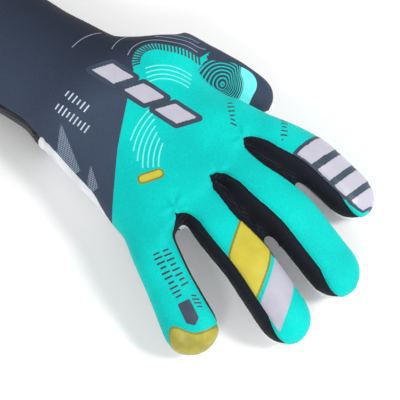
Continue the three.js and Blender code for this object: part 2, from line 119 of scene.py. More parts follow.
HAND_SEAM = (13.5, 200.0)  # angles round the hand and cuff where back and palm meet
CROTCHES = [(-29.5, 6.0, 0.4), (-2.2, 10.5, 1.6), (25.0, 3.0, 2.9)]
FINGER_SEAM = -14.0  # the first of them where the little finger takes the seam over

# Centre line of each digit from root to tip, its half width and height at the root and
# beyond, and its roll. back is the pair of angles where the back gives way to the palm, and
# gussets are [middle, half width] in degrees; 0 faces the little finger and 90 the back.
# split is where the base's panels end and the tip's begin, end_half the half size at the tip
# where that differs, and slab a digit's own stretch.
DIGITS = {
    "index": dict(
        root=(-41.8, 3, 25.5), middle=(-47.3, 38.2, 24), tip=(-46.2, 80, 9.5), roll=-25,
        root_half=(12.4, 10.4), half=(15.2, 10.6), back=(3, 205), gussets=[(3, 39)], split=20,
    ),
    "middle": dict(
        root=(-16, 8.5, 28), middle=(-12.2, 51.2, 27), tip=(-2, 100, 10.5), roll=-18,
        root_half=(12.7, 10.8), half=(15.8, 11.2), back=(5, 180),
        gussets=[(5, 40), (180, 28)], split=25,
    ),
    "ring": dict(
        root=(11.8, 6.5, 27), middle=(22.5, 49, 25.5), tip=(36.2, 94.5, 10), roll=-12,
        root_half=(13.5, 10.9), half=(15.1, 11.1), back=(5, 180),
        gussets=[(5, 40), (180, 28)], split=25,
    ),
    "little": dict(
        root=(38.2, -8, 23), middle=(53.4, 19.2, 21.8), tip=(71.6, 58, 9.5), roll=5,
        root_half=(12.9, 10.2), half=(13.4, 10.3), end_half=(15.4, 10.6), back=(-25, 180),
        gussets=[(180, 30)], split=20,
    ),
    "thumb": dict(
        root=(-60, -48.5, 18.6), middle=(-63.4, -26, 16.2), tip=(-65, -1, 10), roll=-8,
        root_half=(11.7, 10.6), half=(12, 10.4), back=(-10, 200), gussets=[(-10, 30)],
        split=13.5, slab=(5, 13.5),
    ),
}


def metres(points):
    """Pattern millimetres to the row frame."""
    return (np.asarray(points, float) + SHIFT) * MM


def smoothstep(x):
    """Eases from 0 to 1."""
    x = np.clip(x, 0, 1)
    return x * x * (3 - 2 * x)


def unit(v):
    """Vectors made one long."""
    return v / np.linalg.norm(v, axis=-1, keepdims=True)


# ------------------------------------------------------------------ centre lines
def centreline(d):
    """Samples a digit's centre line every millimetre, rounded where it bends, with its frame."""
    root, middle, tip = (np.array(d[k], float) for k in ("root", "middle", "tip"))
    first, second = np.linalg.norm(middle - root), np.linalg.norm(tip - middle)
    ahead, beyond = (middle - root) / first, (tip - middle) / second

    def along(s):
        s = s[:, None]
        return np.where(s < first, root + ahead * s, middle + beyond * (s - first))

    s = np.arange(-16, first + second + 0.5, 1.0)
    window = np.linspace(-7, 7, 15)
    points = np.mean([along(s + shift) for shift in window], axis=0)
    tangent = unit(np.gradient(points, axis=0))
    level = unit(np.cross(tangent, [0, 0, 1]))
    rise = np.cross(level, tangent)
    roll = math.radians(d["roll"])
    side = level * math.cos(roll) - rise * math.sin(roll)
    up = rise * math.cos(roll) + level * math.sin(roll)
    grown = smoothstep(s / (first * 0.6))[:, None]
    ended = smoothstep((s - first) / (second * 0.8))[:, None]
    half = np.array(d["root_half"]) * (1 - grown) + np.array(d["half"]) * grown
    half = half * (1 - ended) + np.array(d.get("end_half", d["half"])) * ended
    return dict(d, s=s, points=points, tangent=tangent, side=side, up=up, half_at=half,
                first=first, length=first + second, ahead=ahead, root=root, middle=middle)


LINES = {name: centreline(d) for name, d in DIGITS.items()}


def outline_at(y):
    """Centre and half sizes of the hand's section at each y."""
    x0, x1, z0, z1 = (np.interp(y, OUTLINE[:, 0], OUTLINE[:, k]) for k in range(1, 5))
    return (x0 + x1) / 2, (z0 + z1) / 2, (x1 - x0) / 2, (z1 - z0) / 2


# ------------------------------------------------------------------ the skin
def superellipse(count, power):
    """Across and up of points round a rounded square of half size 1."""
    angle = np.linspace(0, 2 * np.pi, count, endpoint=False)
    c, s = np.cos(angle), np.sin(angle)
    return (np.sign(c) * np.abs(c) ** (2 / power))[None, :, None], (
        np.sign(s) * np.abs(s) ** (2 / power))[None, :, None]


def loft(rings):
    """Closed tube through rings of points, with a fan at each end."""
    rows, count = rings.shape[:2]
    points = np.concatenate([rings.reshape(-1, 3), [rings[0].mean(0)], [rings[-1].mean(0)]])
    faces = []
    for i in range(rows - 1):
        for j in range(count):
            k = (j + 1) % count
            faces.append((i * count + j, i * count + k, (i + 1) * count + k, (i + 1) * count + j))
    last, near, far = (rows - 1) * count, rows * count, rows * count + 1
    for j in range(count):
        k = (j + 1) % count
        faces.append((near, k, j))
        faces.append((far, last + j, last + k))
    return points, faces


def digit_tube(line):
    """A digit's tube, domed at its tip."""
    across, above = superellipse(28, SECTION_POWER)
    dome = 1.15 * line["half"][0]
    into = np.clip((line["s"] - line["length"] + dome) / dome, 0, 0.985)
    taper = (1 - into ** 2.1) ** (1 / 2.1)
    half = line["half_at"] * taper[:, None]
    return loft(line["points"][:, None] + line["side"][:, None] * across * half[:, None, :1]
                + line["up"][:, None] * above * half[:, None, 1:])


def hand_tube():
    """The tube of hand and cuff together."""
    across, above = superellipse(72, HAND_POWER)
    y = np.arange(OUTLINE[0, 0], OUTLINE[-1, 0] + 1, 2.0)
    xc, zc, w, h = (v[:, None, None] for v in outline_at(y))
    rings = np.concatenate([xc + w * across, np.broadcast_to(y[:, None, None], (len(y), 72, 1)),
                            zc + h * above], axis=2)
    return loft(rings)


def joined(tubes):
    """Several tubes as one list of points and one of faces."""
    points, faces, start = [], [], 0
    for tube_points, tube_faces in tubes:
        points.append(tube_points)
        faces += [tuple(i + start for i in face) for face in tube_faces]
        start += len(tube_points)
    return np.concatenate(points), faces


def modified(obj):
    """Applies an object's modifiers."""
    graph = bpy.context.evaluated_depsgraph_get()
    mesh = bpy.data.meshes.new_from_object(obj.evaluated_get(graph))
    obj.modifiers.clear()
    obj.data = mesh
    return mesh


def vertices_of(mesh):
    co = np.zeros(len(mesh.vertices) * 3, np.float32)
    mesh.vertices.foreach_get("co", co)
    return co.reshape(-1, 3).astype(float)


def filled_out(obj):
    """Lets a cloth simulation with pressure push the skin out, by PUFF at most."""
    scene = bpy.context.scene
    before = vertices_of(obj.data)
    cloth = obj.modifiers.new("filling", "CLOTH")
    cloth.settings.use_pressure = True
    cloth.settings.uniform_pressure_force = FILL_PRESSURE
    cloth.settings.quality = 4
    cloth.settings.effector_weights.gravity = 0
    cloth.settings.tension_stiffness = CLOTH_STIFFNESS
    cloth.settings.compression_stiffness = CLOTH_STIFFNESS
    cloth.settings.bending_stiffness = CLOTH_BENDING
    for step in range(1, FILL_STEPS + 1):
        scene.frame_set(step)
        bpy.context.view_layer.update()
    graph = bpy.context.evaluated_depsgraph_get()
    after = vertices_of(obj.evaluated_get(graph).data)
    obj.modifiers.clear()
    scene.frame_set(1)
    moved = after - before
    length = np.linalg.norm(moved, axis=1, keepdims=True)
    limit = PUFF * MM
    moved *= np.tanh(length / limit) * limit / np.maximum(length, 1e-9)
    obj.data.vertices.foreach_set("co", (before + moved).astype(np.float32).ravel())
    obj.data.update()


def skin():
    """Points and triangles of the whole outer skin, in pattern millimetres."""
    points, faces = joined([hand_tube()] + [digit_tube(line) for line in LINES.values()])
    mesh = bpy.data.meshes.new("skin")
    mesh.from_pydata(metres(points).tolist(), [], faces)
    obj = bpy.data.objects.new("skin", mesh)
    bpy.context.scene.collection.objects.link(obj)
    remesh = obj.modifiers.new("one skin", "REMESH")
    remesh.mode = "VOXEL"
    remesh.voxel_size = VOXEL * MM
    soften = obj.modifiers.new("soften", "SMOOTH")
    soften.factor = 0.5
    soften.iterations = SKIN_ROUNDS
    modified(obj)
    filled_out(obj)
    relax = obj.modifiers.new("relax", "SMOOTH")
    relax.factor = 0.5
    relax.iterations = 2
    finer = obj.modifiers.new("finer", "SUBSURF")
    finer.levels = 1
    mesh = modified(obj)
    mesh.calc_loop_triangles()
    triangles = np.zeros(len(mesh.loop_triangles) * 3, np.int32)
    mesh.loop_triangles.foreach_get("vertices", triangles)
    points = vertices_of(mesh) / MM - SHIFT
    bpy.data.objects.remove(obj)
    return points, triangles.reshape(-1, 3)


# ------------------------------------------------------------------ places on the skin
DIGIT_RADIUS = 12  # for angles round a digit as millimetres, as HAND_RADIUS is for the hand
HAND_RADIUS = 26
CHUNK = 20000  # points looked at together, to save memory


def local(line, points):
    """Along, angle and distance (1 is the section's edge) of points in a digit's own frame."""
    nearest = np.empty(len(points), int)
    for start in range(0, len(points), CHUNK):
        part = points[start:start + CHUNK]
        gap = ((line["points"] ** 2).sum(1) - 2 * part @ line["points"].T)
        nearest[start:start + CHUNK] = gap.argmin(1)
    away = points - line["points"][nearest]
    s = line["s"][nearest] + (away * line["tangent"][nearest]).sum(1)
    half = line["half_at"][nearest]
    a = (away * line["side"][nearest]).sum(1) / half[:, 0]
    b = (away * line["up"][nearest]).sum(1) / half[:, 1]
    return s, np.degrees(np.arctan2(b, a)), np.hypot(a, b)


def off_angle(angle, middle):
    """Degrees from middle to angle, from -180 to 180."""
    return (angle - middle + 180) % 360 - 180


def backness(angle, pair, radius):
    """Distance in millimetres from the seam between back and palm, positive on the back."""
    low, high = pair
    half = (high - low) / 2
    return np.radians(half - np.abs(off_angle(angle, (low + high) / 2))) * radius


def ahead_of_root(line, points):
    """How far points lie beyond a plane across the digit's root."""
    return (points - line["root"]) @ line["ahead"]


def fields(points):
    """For each point: its digit (-1 is the hand), how far it is inside the back, and how far
    it is inside a gusset, both in millimetres."""
    xc, zc, w, h = outline_at(points[:, 1])
    angle = np.degrees(np.arctan2((points[:, 2] - zc) / h, (points[:, 0] - xc) / w))
    turn = smoothstep((points[:, 1] + 44) / 26)
    low_seam = HAND_SEAM[0] * (1 - turn) + FINGER_SEAM * turn
    back = backness(angle, (low_seam, HAND_SEAM[1]), HAND_RADIUS)
    gusset = np.full(len(points), -30.0)
    nearest = np.full(len(points), 9.0)
    owner = np.full(len(points), -1)
    for number, (name, line) in enumerate(LINES.items()):
        s, angle, far = local(line, points)
        beyond = ahead_of_root(line, points)
        near = (far < nearest) & (far < 1.5) & (beyond > -12)
        weight = smoothstep((beyond + 9) / 12) * smoothstep((1.5 - far) / 0.25)
        digit_back = backness(angle, line["back"], DIGIT_RADIUS)
        back = np.where(near, back * (1 - weight) + digit_back * weight, back)
        start, end = (-3 if name != "thumb" else 0), line["length"] - 3
        taper = np.sqrt(np.clip((s - start) / 16, 0, 1) * np.clip((end - s) / 18, 0, 1))
        for middle, width in line["gussets"]:
            inside = np.radians(width * taper - np.abs(off_angle(angle, middle)))
            inside = inside * DIGIT_RADIUS
            inside = np.where(taper > 0, inside, -np.abs(inside) - 1)
            gusset = np.where(near, np.maximum(gusset, inside), gusset)
        nearest = np.where(near, far, nearest)
        owner = np.where(near & (beyond > KNUCKLE_CUT), number, owner)
    return owner, back, gusset


def cut(points, triangles, value, snap=0.15):
    """Splits triangles along value = 0. Returns the points, triangles and value again."""
    value = value.copy()
    following = np.roll(triangles, -1, axis=1)
    a, b = value[triangles], value[following]
    crossing = a * b < 0
    share = np.where(crossing, a / np.where(crossing, a - b, 1), 0.5)
    value[triangles[crossing & (share < snap)]] = 0
    value[following[crossing & (share > 1 - snap)]] = 0
    a, b = value[triangles], value[following]
    crossing = a * b < 0
    pairs = np.sort(np.stack([triangles[crossing], following[crossing]], 1), axis=1)
    unique, index = np.unique(pairs, axis=0, return_inverse=True)
    edge = np.full(triangles.shape, -1)
    edge[crossing] = len(points) + index.ravel()
    low, high = unique[:, 0], unique[:, 1]
    share = (value[low] / (value[low] - value[high]))[:, None]
    points = np.concatenate([points, points[low] * (1 - share) + points[high] * share])
    value = np.concatenate([value, np.zeros(len(unique))])
    count = crossing.sum(1)
    parts = [triangles[count == 0]]
    for k in range(3):
        v = [triangles[:, (k + i) % 3] for i in range(3)]
        e = [edge[:, (k + i) % 3] for i in range(3)]
        one = (count == 1) & crossing[:, k]
        parts.append(np.stack([v[0], e[0], v[2]], 1)[one])
        parts.append(np.stack([e[0], v[1], v[2]], 1)[one])
        two = (count == 2) & ~crossing[:, k]
        parts.append(np.stack([v[0], v[1], e[1]], 1)[two])
        parts.append(np.stack([v[0], e[1], e[2]], 1)[two])
        parts.append(np.stack([e[1], v[2], e[2]], 1)[two])
    return points, np.concatenate(parts), value


def normals_of(points, triangles):
    """Smooth normals, larger triangles counting for more."""
    a, b, c = (points[triangles[:, k]] for k in range(3))
    face = np.cross(b - a, c - a)
    total = np.zeros_like(points)
    for k in range(3):
        np.add.at(total, triangles[:, k], face)
    return total / np.maximum(np.linalg.norm(total, axis=1, keepdims=True), 1e-12)


def seam_relief(points, normals):
    """Pulls the skin in along its seams and sinks the mesh gussets."""
    _, back, gusset = fields(points)
    away = np.where(gusset < 0, np.minimum(np.abs(back), np.abs(gusset)), np.abs(gusset))
    sink = SEAM_DEPTH * np.exp(-((away / SEAM_WIDTH) ** 2))
    sink += GUSSET_SINK * smoothstep((gusset + 0.4) / 2.2)
    points = points + normals * (creases(points) - sink)[:, None]
    points[:, 2] = flattened(points[:, 2])
    return points


def creases(points):
    """Height of the small pulls at the finger crotches and the gathers at the cuff's seam."""
    height = np.zeros(len(points))
    for x, y, turn in CROTCHES:
        away = points[:, :2] - (x, y)
        reach = np.linalg.norm(away, axis=1)
        way = np.arctan2(away[:, 1], away[:, 0])
        fade = np.exp(-((reach - 3.5) / 5.0) ** 2) * (points[:, 2] > 22)
        height += 0.55 * fade * np.cos(5 * way + turn)
    xc, zc, w, h = outline_at(points[:, 1])
    angle = np.degrees(np.arctan2((points[:, 2] - zc) / h, (points[:, 0] - xc) / w))
    side = np.exp(-((off_angle(angle, 0) / 24) ** 2))
    near = np.exp(-(((points[:, 1] - CUFF_SPLIT) / 5.0) ** 2))
    height += 0.85 * side * near * np.cos((points[:, 1] - CUFF_SPLIT) * 1.25 + angle * 0.06)
    return height


def flattened(z):
    """Presses the skin's underside flat on the ground, rounding off over REST_ROUND."""
    over = np.clip((z + REST_ROUND) / (2 * REST_ROUND), 0, 1)
    return np.where(z > REST_ROUND, z, over ** 2 * REST_ROUND)


def cut_skin():
    """The skin cut at every seam and joint, with each triangle's region and panel."""
    points, triangles = skin()
    points, triangles, _ = cut(points, triangles, points[:, 1] - MOUTH)
    triangles = triangles[points[triangles, 1].mean(1) > MOUTH]
    points, triangles, _ = cut(points, triangles, points[:, 1] - CUFF_SPLIT)
    for line in LINES.values():
        for at in (KNUCKLE_CUT, line["split"]):
            near = np.abs(local(line, points)[2]) < 1.9
            value = np.where(near, ahead_of_root(line, points) - at, 50.0)
            points, triangles, _ = cut(points, triangles, value)
    points, triangles, _ = cut(points, triangles, fields(points)[2])
    points, triangles, _ = cut(points, triangles, fields(points)[1])
    middle = points[triangles].mean(1)
    owner, back, gusset = fields(middle)
    panel = np.where(gusset > 0, 2, np.where(back > 0, 0, 1))
    used, triangles = np.unique(triangles, return_inverse=True)
    points, triangles = points[used], triangles.reshape(-1, 3)
    moved = seam_relief(points, normals_of(points, triangles))
    return moved, points, triangles, owner, panel, middle


# ------------------------------------------------------------------ pieces
def mesh_object(name, points, triangles, loop_normals, attributes, material):
    """An object from pattern millimetres, with a normal for each corner of each triangle."""
    mesh = bpy.data.meshes.new(name)
    mesh.vertices.add(len(points))
    mesh.vertices.foreach_set("co", metres(points).astype(np.float32).ravel())
    mesh.loops.add(triangles.size)
    mesh.loops.foreach_set("vertex_index", triangles.astype(np.int32).ravel())
    mesh.polygons.add(len(triangles))
    mesh.polygons.foreach_set("loop_start", np.arange(0, triangles.size, 3, dtype=np.int32))
    mesh.update(calc_edges=True)
    mesh.shade_smooth()
    for key, values in attributes.items():
        kind = "FLOAT_VECTOR" if values.ndim == 2 else "FLOAT"
        layer = mesh.attributes.new(key, kind, "POINT")
        layer.data.foreach_set("vector" if values.ndim == 2 else "value",
                               values.astype(np.float32).ravel())
    mesh.normals_split_custom_set(loop_normals.reshape(-1, 3).tolist())
    mesh.materials.append(material)
    obj = bpy.data.objects.new(name, mesh)
    bpy.context.scene.collection.objects.link(obj)
    return obj


def closed(name, points, normals, triangles, lift, thick, material, attributes=None):
    """A closed piece from a patch of skin: outer face lift proud of it, inner face thick below.
    lift and thick are numbers, or one for each point."""
    used, triangles = np.unique(triangles, return_inverse=True)
    triangles = triangles.reshape(-1, 3)
    count = len(used)
    lift, thick = (np.broadcast_to(np.asarray(v, float), (len(points),))[used][:, None]
                   for v in (lift, thick))
    outer = points[used] + normals[used] * lift
    inner = points[used] + normals[used] * (lift - thick)
    start = triangles.ravel()
    end = np.roll(triangles, -1, axis=1).ravel()
    rim = ~np.isin(start * count + end, end * count + start)
    a, b = start[rim], end[rim]
    walls = np.concatenate([np.stack([b, a, a + count], 1),
                            np.stack([b, a + count, b + count], 1)])
    every = np.concatenate([triangles, triangles[:, ::-1] + count, walls])
    both = np.concatenate([outer, inner])
    p, q, r = (both[walls[:, k]] for k in range(3))
    flat = np.cross(q - p, r - p)
    flat /= np.maximum(np.linalg.norm(flat, axis=1, keepdims=True), 1e-12)
    skin_normals = normals[used]
    loops = np.concatenate([skin_normals[triangles], -skin_normals[triangles[:, ::-1]],
                            np.repeat(flat[:, None], 3, axis=1)])
    layers = {key: np.concatenate([v[used], v[used]]) for key, v in (attributes or {}).items()}
    layers["pattern"] = np.concatenate([points[used], points[used]])
    return mesh_object(name, both, every, loops, layers, material)


def attach(obj, region):
    """Attaches a hand piece to the hand's body; cuff and digit pieces only have their transform
    baked in.
    """
    if region == "hand":
        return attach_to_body(obj, "hand")
    if region == "cuff":
        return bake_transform(obj)
    name, part = region.rsplit("_", 1)
    if part == "base":
        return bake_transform(obj)
    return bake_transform(obj)


def finish_piece(obj, region, nodes=()):
    """Attaches a piece and hides the imported nodes that it stands for."""
    attach(obj, region)
    if nodes:
        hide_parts(*nodes)
    return obj


# ------------------------------------------------------------------ materials
def colour(code):
    """Linear colour from a hex code."""
    parts = [int(code[k:k + 2], 16) / 255 for k in (1, 3, 5)]
    return [c / 12.92 if c <= 0.04045 else ((c + 0.055) / 1.055) ** 2.4 for c in parts] + [1.0]


class Look:
    """A material's nodes, with short calls for the few kinds that the glove needs."""

    def __init__(self, name, roughness, sheen=0.0, coat=0.0, specular=0.35):
        self.material = bpy.data.materials.new(name)
        self.material.use_nodes = True
        self.tree = self.material.node_tree
        self.shader = self.tree.nodes["Principled BSDF"]
        self.shader.inputs["Roughness"].default_value = roughness
        self.shader.inputs["Sheen Weight"].default_value = sheen
        self.shader.inputs["Sheen Roughness"].default_value = 0.45
        self.shader.inputs["Coat Weight"].default_value = coat
        self.shader.inputs["Coat Roughness"].default_value = 0.35
        self.shader.inputs["Specular IOR Level"].default_value = specular

    def node(self, kind, values=(), **settings):
        made = self.tree.nodes.new(kind)
        for key, value in settings.items():
            setattr(made, key, value)
        for key, value in dict(values).items():
            self.put(value, made.inputs[key])
        return made

    def put(self, value, socket):
        if isinstance(value, bpy.types.NodeSocket):
            self.tree.links.new(value, socket)
        else:
            socket.default_value = value

    def read(self, key, vector=True):
        made = self.node("ShaderNodeAttribute", attribute_name=key)
        return made.outputs["Vector" if vector else "Fac"]

    def maths(self, operation, a, b=0.0):
        return self.node("ShaderNodeMath", {0: a, 1: b}, operation=operation).outputs[0]

    def ramp(self, value, low, high, out_low=0.0, out_high=1.0):
        made = self.node("ShaderNodeMapRange", {"Value": value, "From Min": low, "From Max": high,
                                                "To Min": out_low, "To Max": out_high})
        return made.outputs["Result"]

    def mix(self, share, a, b):
        made = self.node("ShaderNodeMix", data_type="RGBA")
        for index, value in ((0, share), (6, a), (7, b)):
            self.put(value, made.inputs[index])
        return made.outputs[2]

    def noise(self, where, scale, detail=2.0):
        made = self.node("ShaderNodeTexNoise", {"Vector": where, "Scale": scale,
                                                "Detail": detail})
        return made.outputs["Fac"]

    def cells(self, where, scale, feature="F1"):
        made = self.node("ShaderNodeTexVoronoi", {"Vector": where, "Scale": scale},
                         feature=feature)
        return made.outputs["Distance"]

    def stretched(self, where, scale):
        return self.node("ShaderNodeVectorMath", {0: where, 1: scale},
                         operation="MULTIPLY").outputs[0]

    def parts(self, where):
        return self.node("ShaderNodeSeparateXYZ", {0: where}).outputs

    def bump(self, height, distance, strength=1.0):
        made = self.node("ShaderNodeBump", {"Height": height, "Distance": distance,
                                            "Strength": strength})
        self.put(made.outputs[0], self.shader.inputs["Normal"])

    def base(self, value):
        self.put(value, self.shader.inputs["Base Color"])
        return self.material


TURQUOISE, TURQUOISE_DEEP = colour("#02d0c6"), colour("#02c0b9")
TURQUOISE_PALE = colour("#74f0ee")
# Navy in painted shade and in painted light; the navy print is mixed between the two.
NAVY_SHADED, NAVY_LIT = colour("#1d2431"), colour("#3f4b5f")
INK = colour("#2c3a4c")
GREY, YELLOW, OLIVE = colour("#bdbbc8"), colour("#cabd38"), colour("#808a2a")
LATEX, BLACK = colour("#f3f6fa"), colour("#07080c")


def knit_height(look, where):
    """Fine looped face of a knit over foam."""
    loops = look.cells(look.stretched(where, (1.5, 1.1, 1.5)), 1.0)
    return look.maths("ADD", look.maths("MULTIPLY", loops, 0.7), look.noise(where, 0.9))


def neoprene(name, thumb=False):
    """Turquoise knit over foam, printed navy wherever the layer named navy is positive."""
    look = Look(name, roughness=0.6, sheen=0.03, specular=0.1)
    where = look.read("pattern")
    cloud = look.ramp(look.noise(where, 0.035), 0.35, 0.65)
    ground = look.mix(cloud, TURQUOISE_DEEP, TURQUOISE)
    x, y, _ = look.parts(where)
    # Painted light and shade on the navy: the tone layer mixes from the shaded navy to the lit
    # navy.
    ink = look.mix(look.read("tone", vector=False), NAVY_SHADED, NAVY_LIT)
    dots = look.maths("MULTIPLY", look.maths("SINE", look.maths("MULTIPLY", x, 5.2)),
                      look.maths("SINE", look.maths("MULTIPLY", y, 5.2)))
    dots = look.maths("MULTIPLY", look.ramp(dots, 0.0, 0.25),
                      look.ramp(look.read("dots", vector=False), -0.1, 0.4))
    ink = look.mix(dots, ink, colour("#a3b1c4"))
    printed = look.ramp(look.read("navy", vector=False), -0.15, 0.15)
    flat = look.mix(printed, ground, ink)
    if thumb:
        rings = look.maths("FRACT", look.read("rings", vector=False))
        line = look.ramp(look.maths("ABSOLUTE", look.maths("SUBTRACT", rings, 0.5)), 0.14, 0.22)
        inside = look.ramp(look.read("contours", vector=False), -0.2, 0.2)
        pale = look.ramp(look.read("contours", vector=False), 3.0, -1.0)
        ground = look.mix(pale, ground, TURQUOISE_PALE)
        ringed = look.mix(look.maths("MULTIPLY", line, inside), ground, ink)
        flat = look.mix(printed, ringed, ink)
    speck = look.ramp(look.noise(where, 2.2, 3), 0.3, 0.7, 0.8, 1.16)
    tone = look.node("ShaderNodeMix", data_type="RGBA", blend_type="MULTIPLY")
    look.put(1.0, tone.inputs[0])
    look.put(flat, tone.inputs[6])
    look.put(speck, tone.inputs[7])
    look.bump(knit_height(look, where), 0.00012, 0.5)
    return look.base(tone.outputs[2])


def latex():
    """Foam latex with fine open cells and a little shading where it is handled."""
    look = Look("latex_palm", roughness=0.62, sheen=0.05, specular=0.35)
    where = look.read("pattern")
    pores = look.cells(where, 0.9)
    wear = look.ramp(look.noise(where, 0.05, 4), 0.4, 0.75)
    shade = look.mix(wear, LATEX, colour("#d6d8da"))
    height = look.maths("ADD", pores, look.noise(where, 1.7, 3))
    look.bump(height, 0.00018, 0.5)
    return look.base(shade)


def mesh_cloth(name, tint=BLACK, lift="#232833", pitch=1.5):
    """Knitted mesh: diagonal rows of small openings, laid along each strip."""
    look = Look(name, roughness=0.55, sheen=0.03, specular=0.12)
    along, across, _ = look.parts(look.read("strip"))
    rows = []
    for sign in (1, -1):
        phase = look.maths("MULTIPLY", look.maths("ADD", along, look.maths(
            "MULTIPLY", across, sign)), 2 * math.pi / pitch / 1.4)
        rows.append(look.maths("SINE", phase))
    weave = look.maths("MULTIPLY", rows[0], rows[1])
    thread = look.ramp(weave, -0.5, 0.6)
    shade = look.mix(thread, tint, colour(lift))
    look.bump(thread, 0.0002, 0.7)
    return look.base(shade)


def ribbed(name, tint, lift, pitch=2.4):
    """Elastic rib knit: columns that run towards the fingers."""
    look = Look(name, roughness=0.78, sheen=0.2, specular=0.2)
    where = look.read("pattern")
    x, y, z = look.parts(where)
    rib = look.maths("SINE", look.maths("MULTIPLY", look.maths("ADD", x, z), 2 * math.pi / pitch))
    row = look.maths("SINE", look.maths("MULTIPLY", y, 2 * math.pi / 0.9))
    height = look.maths("ADD", rib, look.maths("MULTIPLY", row, 0.35))
    look.bump(height, 0.00022, 0.6)
    return look.base(look.mix(look.ramp(rib, -1, 1), tint, lift))


def silicone(name, tint, edge_tint, roughness=0.38):
    """Screen-printed silicone: smooth, slightly glossy, a touch uneven."""
    look = Look(name, roughness=roughness, coat=0.08, specular=0.45)
    where = look.read("pattern")
    cloud = look.ramp(look.noise(where, 0.12), 0.35, 0.7)
    look.bump(look.noise(where, 1.2, 3), 0.00008, 0.4)
    return look.base(look.mix(cloud, tint, edge_tint))


def thread_look(name, tint):
    """Twisted sewing thread."""
    look = Look(name, roughness=0.6, sheen=0.2)
    where = look.read("pattern")
    twist = look.maths("SINE", look.maths("MULTIPLY", look.parts(where)[0], 9.0))
    look.bump(twist, 0.00005, 0.5)
    return look.base(look.mix(look.ramp(twist, -1, 1), tint, [min(1, c * 1.3) for c in tint]))


NEOPRENE, NEOPRENE_THUMB = neoprene("knit_over_foam"), neoprene("knit_over_foam_thumb", True)
LATEX_LOOK = latex()
MESH_LOOK = mesh_cloth("black_mesh")
KNIT_LOOK = ribbed("elastic_knit", colour("#12151c"), colour("#262b35"))
LINING_LOOK = ribbed("lining_knit", colour("#1b1f28"), colour("#2c313c"), 1.6)
GREY_LOOK = silicone("grey_print", GREY, colour("#b6b3c2"))
YELLOW_LOOK = silicone("yellow_print", YELLOW, colour("#c0b034"))
OLIVE_LOOK = silicone("olive_rim", OLIVE, colour("#707c28"))
INK_LOOK = silicone("navy_print", INK, colour("#354458"), 0.5)
PALE_LOOK = silicone("pale_line", colour("#7fe9e6"), colour("#70e0dd"), 0.5)
# The white band's print: the grey print's colour, made a little darker as painted shade.
SHADED_BAND_LOOK = silicone("band_print_painted_shade", colour("#b4b2c0"), colour("#aaa8b7"))
CAP_LOOK = silicone("cap_print", colour("#b5ab3c"), colour("#978e3a"))
MARK_LOOK = silicone("pale_mark", colour("#c9d2de"), colour("#b5bfce"), 0.5)
LINE_LOOK = silicone("thin_line", colour("#8f9cb0"), colour("#7d8aa0"), 0.5)
BINDING_LOOK = ribbed("binding_knit", colour("#14171f"), colour("#2b303b"), 1.3)
WEBBING_LOOK = ribbed("webbing", colour("#171a22"), colour("#30353f"), 0.9)
THREAD_LOOK = thread_look("thread", colour("#3a4353"))


# ------------------------------------------------------------------ printed areas
def inside_polygon(points, corners):
    """Signed distance in plan from points to a polygon's edge, positive inside."""
    p, corners = points[:, :2], np.array(corners, float)
    best = np.full(len(p), 1e9)
    inside = np.zeros(len(p), bool)
    for a, b in zip(corners, np.roll(corners, -1, axis=0)):
        edge = b - a
        t = np.clip(((p - a) @ edge) / (edge @ edge), 0, 1)
        best = np.minimum(best, np.linalg.norm(p - a - t[:, None] * edge, axis=1))
        crosses = (a[1] > p[:, 1]) != (b[1] > p[:, 1])
        x = a[0] + (p[:, 1] - a[1]) * edge[0] / (edge[1] if edge[1] else 1e-9)
        inside ^= crosses & (p[:, 0] < x)
    return np.where(inside, best, -best)


def arc(centre, radius, start, end, count=18):
    """Places along a round line, from one angle to another in degrees."""
    angle = np.radians(np.linspace(start, end, count))
    return [(centre[0] + radius * math.cos(t), centre[1] + radius * math.sin(t)) for t in angle]


HOOK_CENTRE = (-35, -57)
HOOK_END = -150  # degrees, where the hook's round part runs on straight
COMB_RADIUS = 13.5
COMB_RUN = 21.5


def hook(radius, start, run):
    """A round line about HOOK_CENTRE that runs on straight towards the thumb."""
    round_part = arc(HOOK_CENTRE, radius, start, HOOK_END)
    turn = math.radians(HOOK_END)
    x, y = round_part[-1]
    return round_part + [(x + math.sin(turn) * run, y - math.cos(turn) * run)]


# The turquoise areas in plan: the hand's field, behind which all is navy, and the thumb's.
HAND_FIELD = [(60, -14), (18, -41.5)] + hook(COMB_RADIUS, -30, COMB_RUN) + [
    (-90, -38), (-90, 130), (120, 130), (120, -14)]
THUMB_FIELD = [(-40, -50), (-55, -47), (-68, -30)] + arc((-60.5, -20), 10, 195, 95) + [(-40, -6)]
CONTOUR_CENTRE = (-54.2, -26.5)
DOT_FIELDS = [[(24, -76), (36, -70), (43, -60), (37, -52)],
              [(32, -49), (39, -46), (43, -42), (39, -38)]]


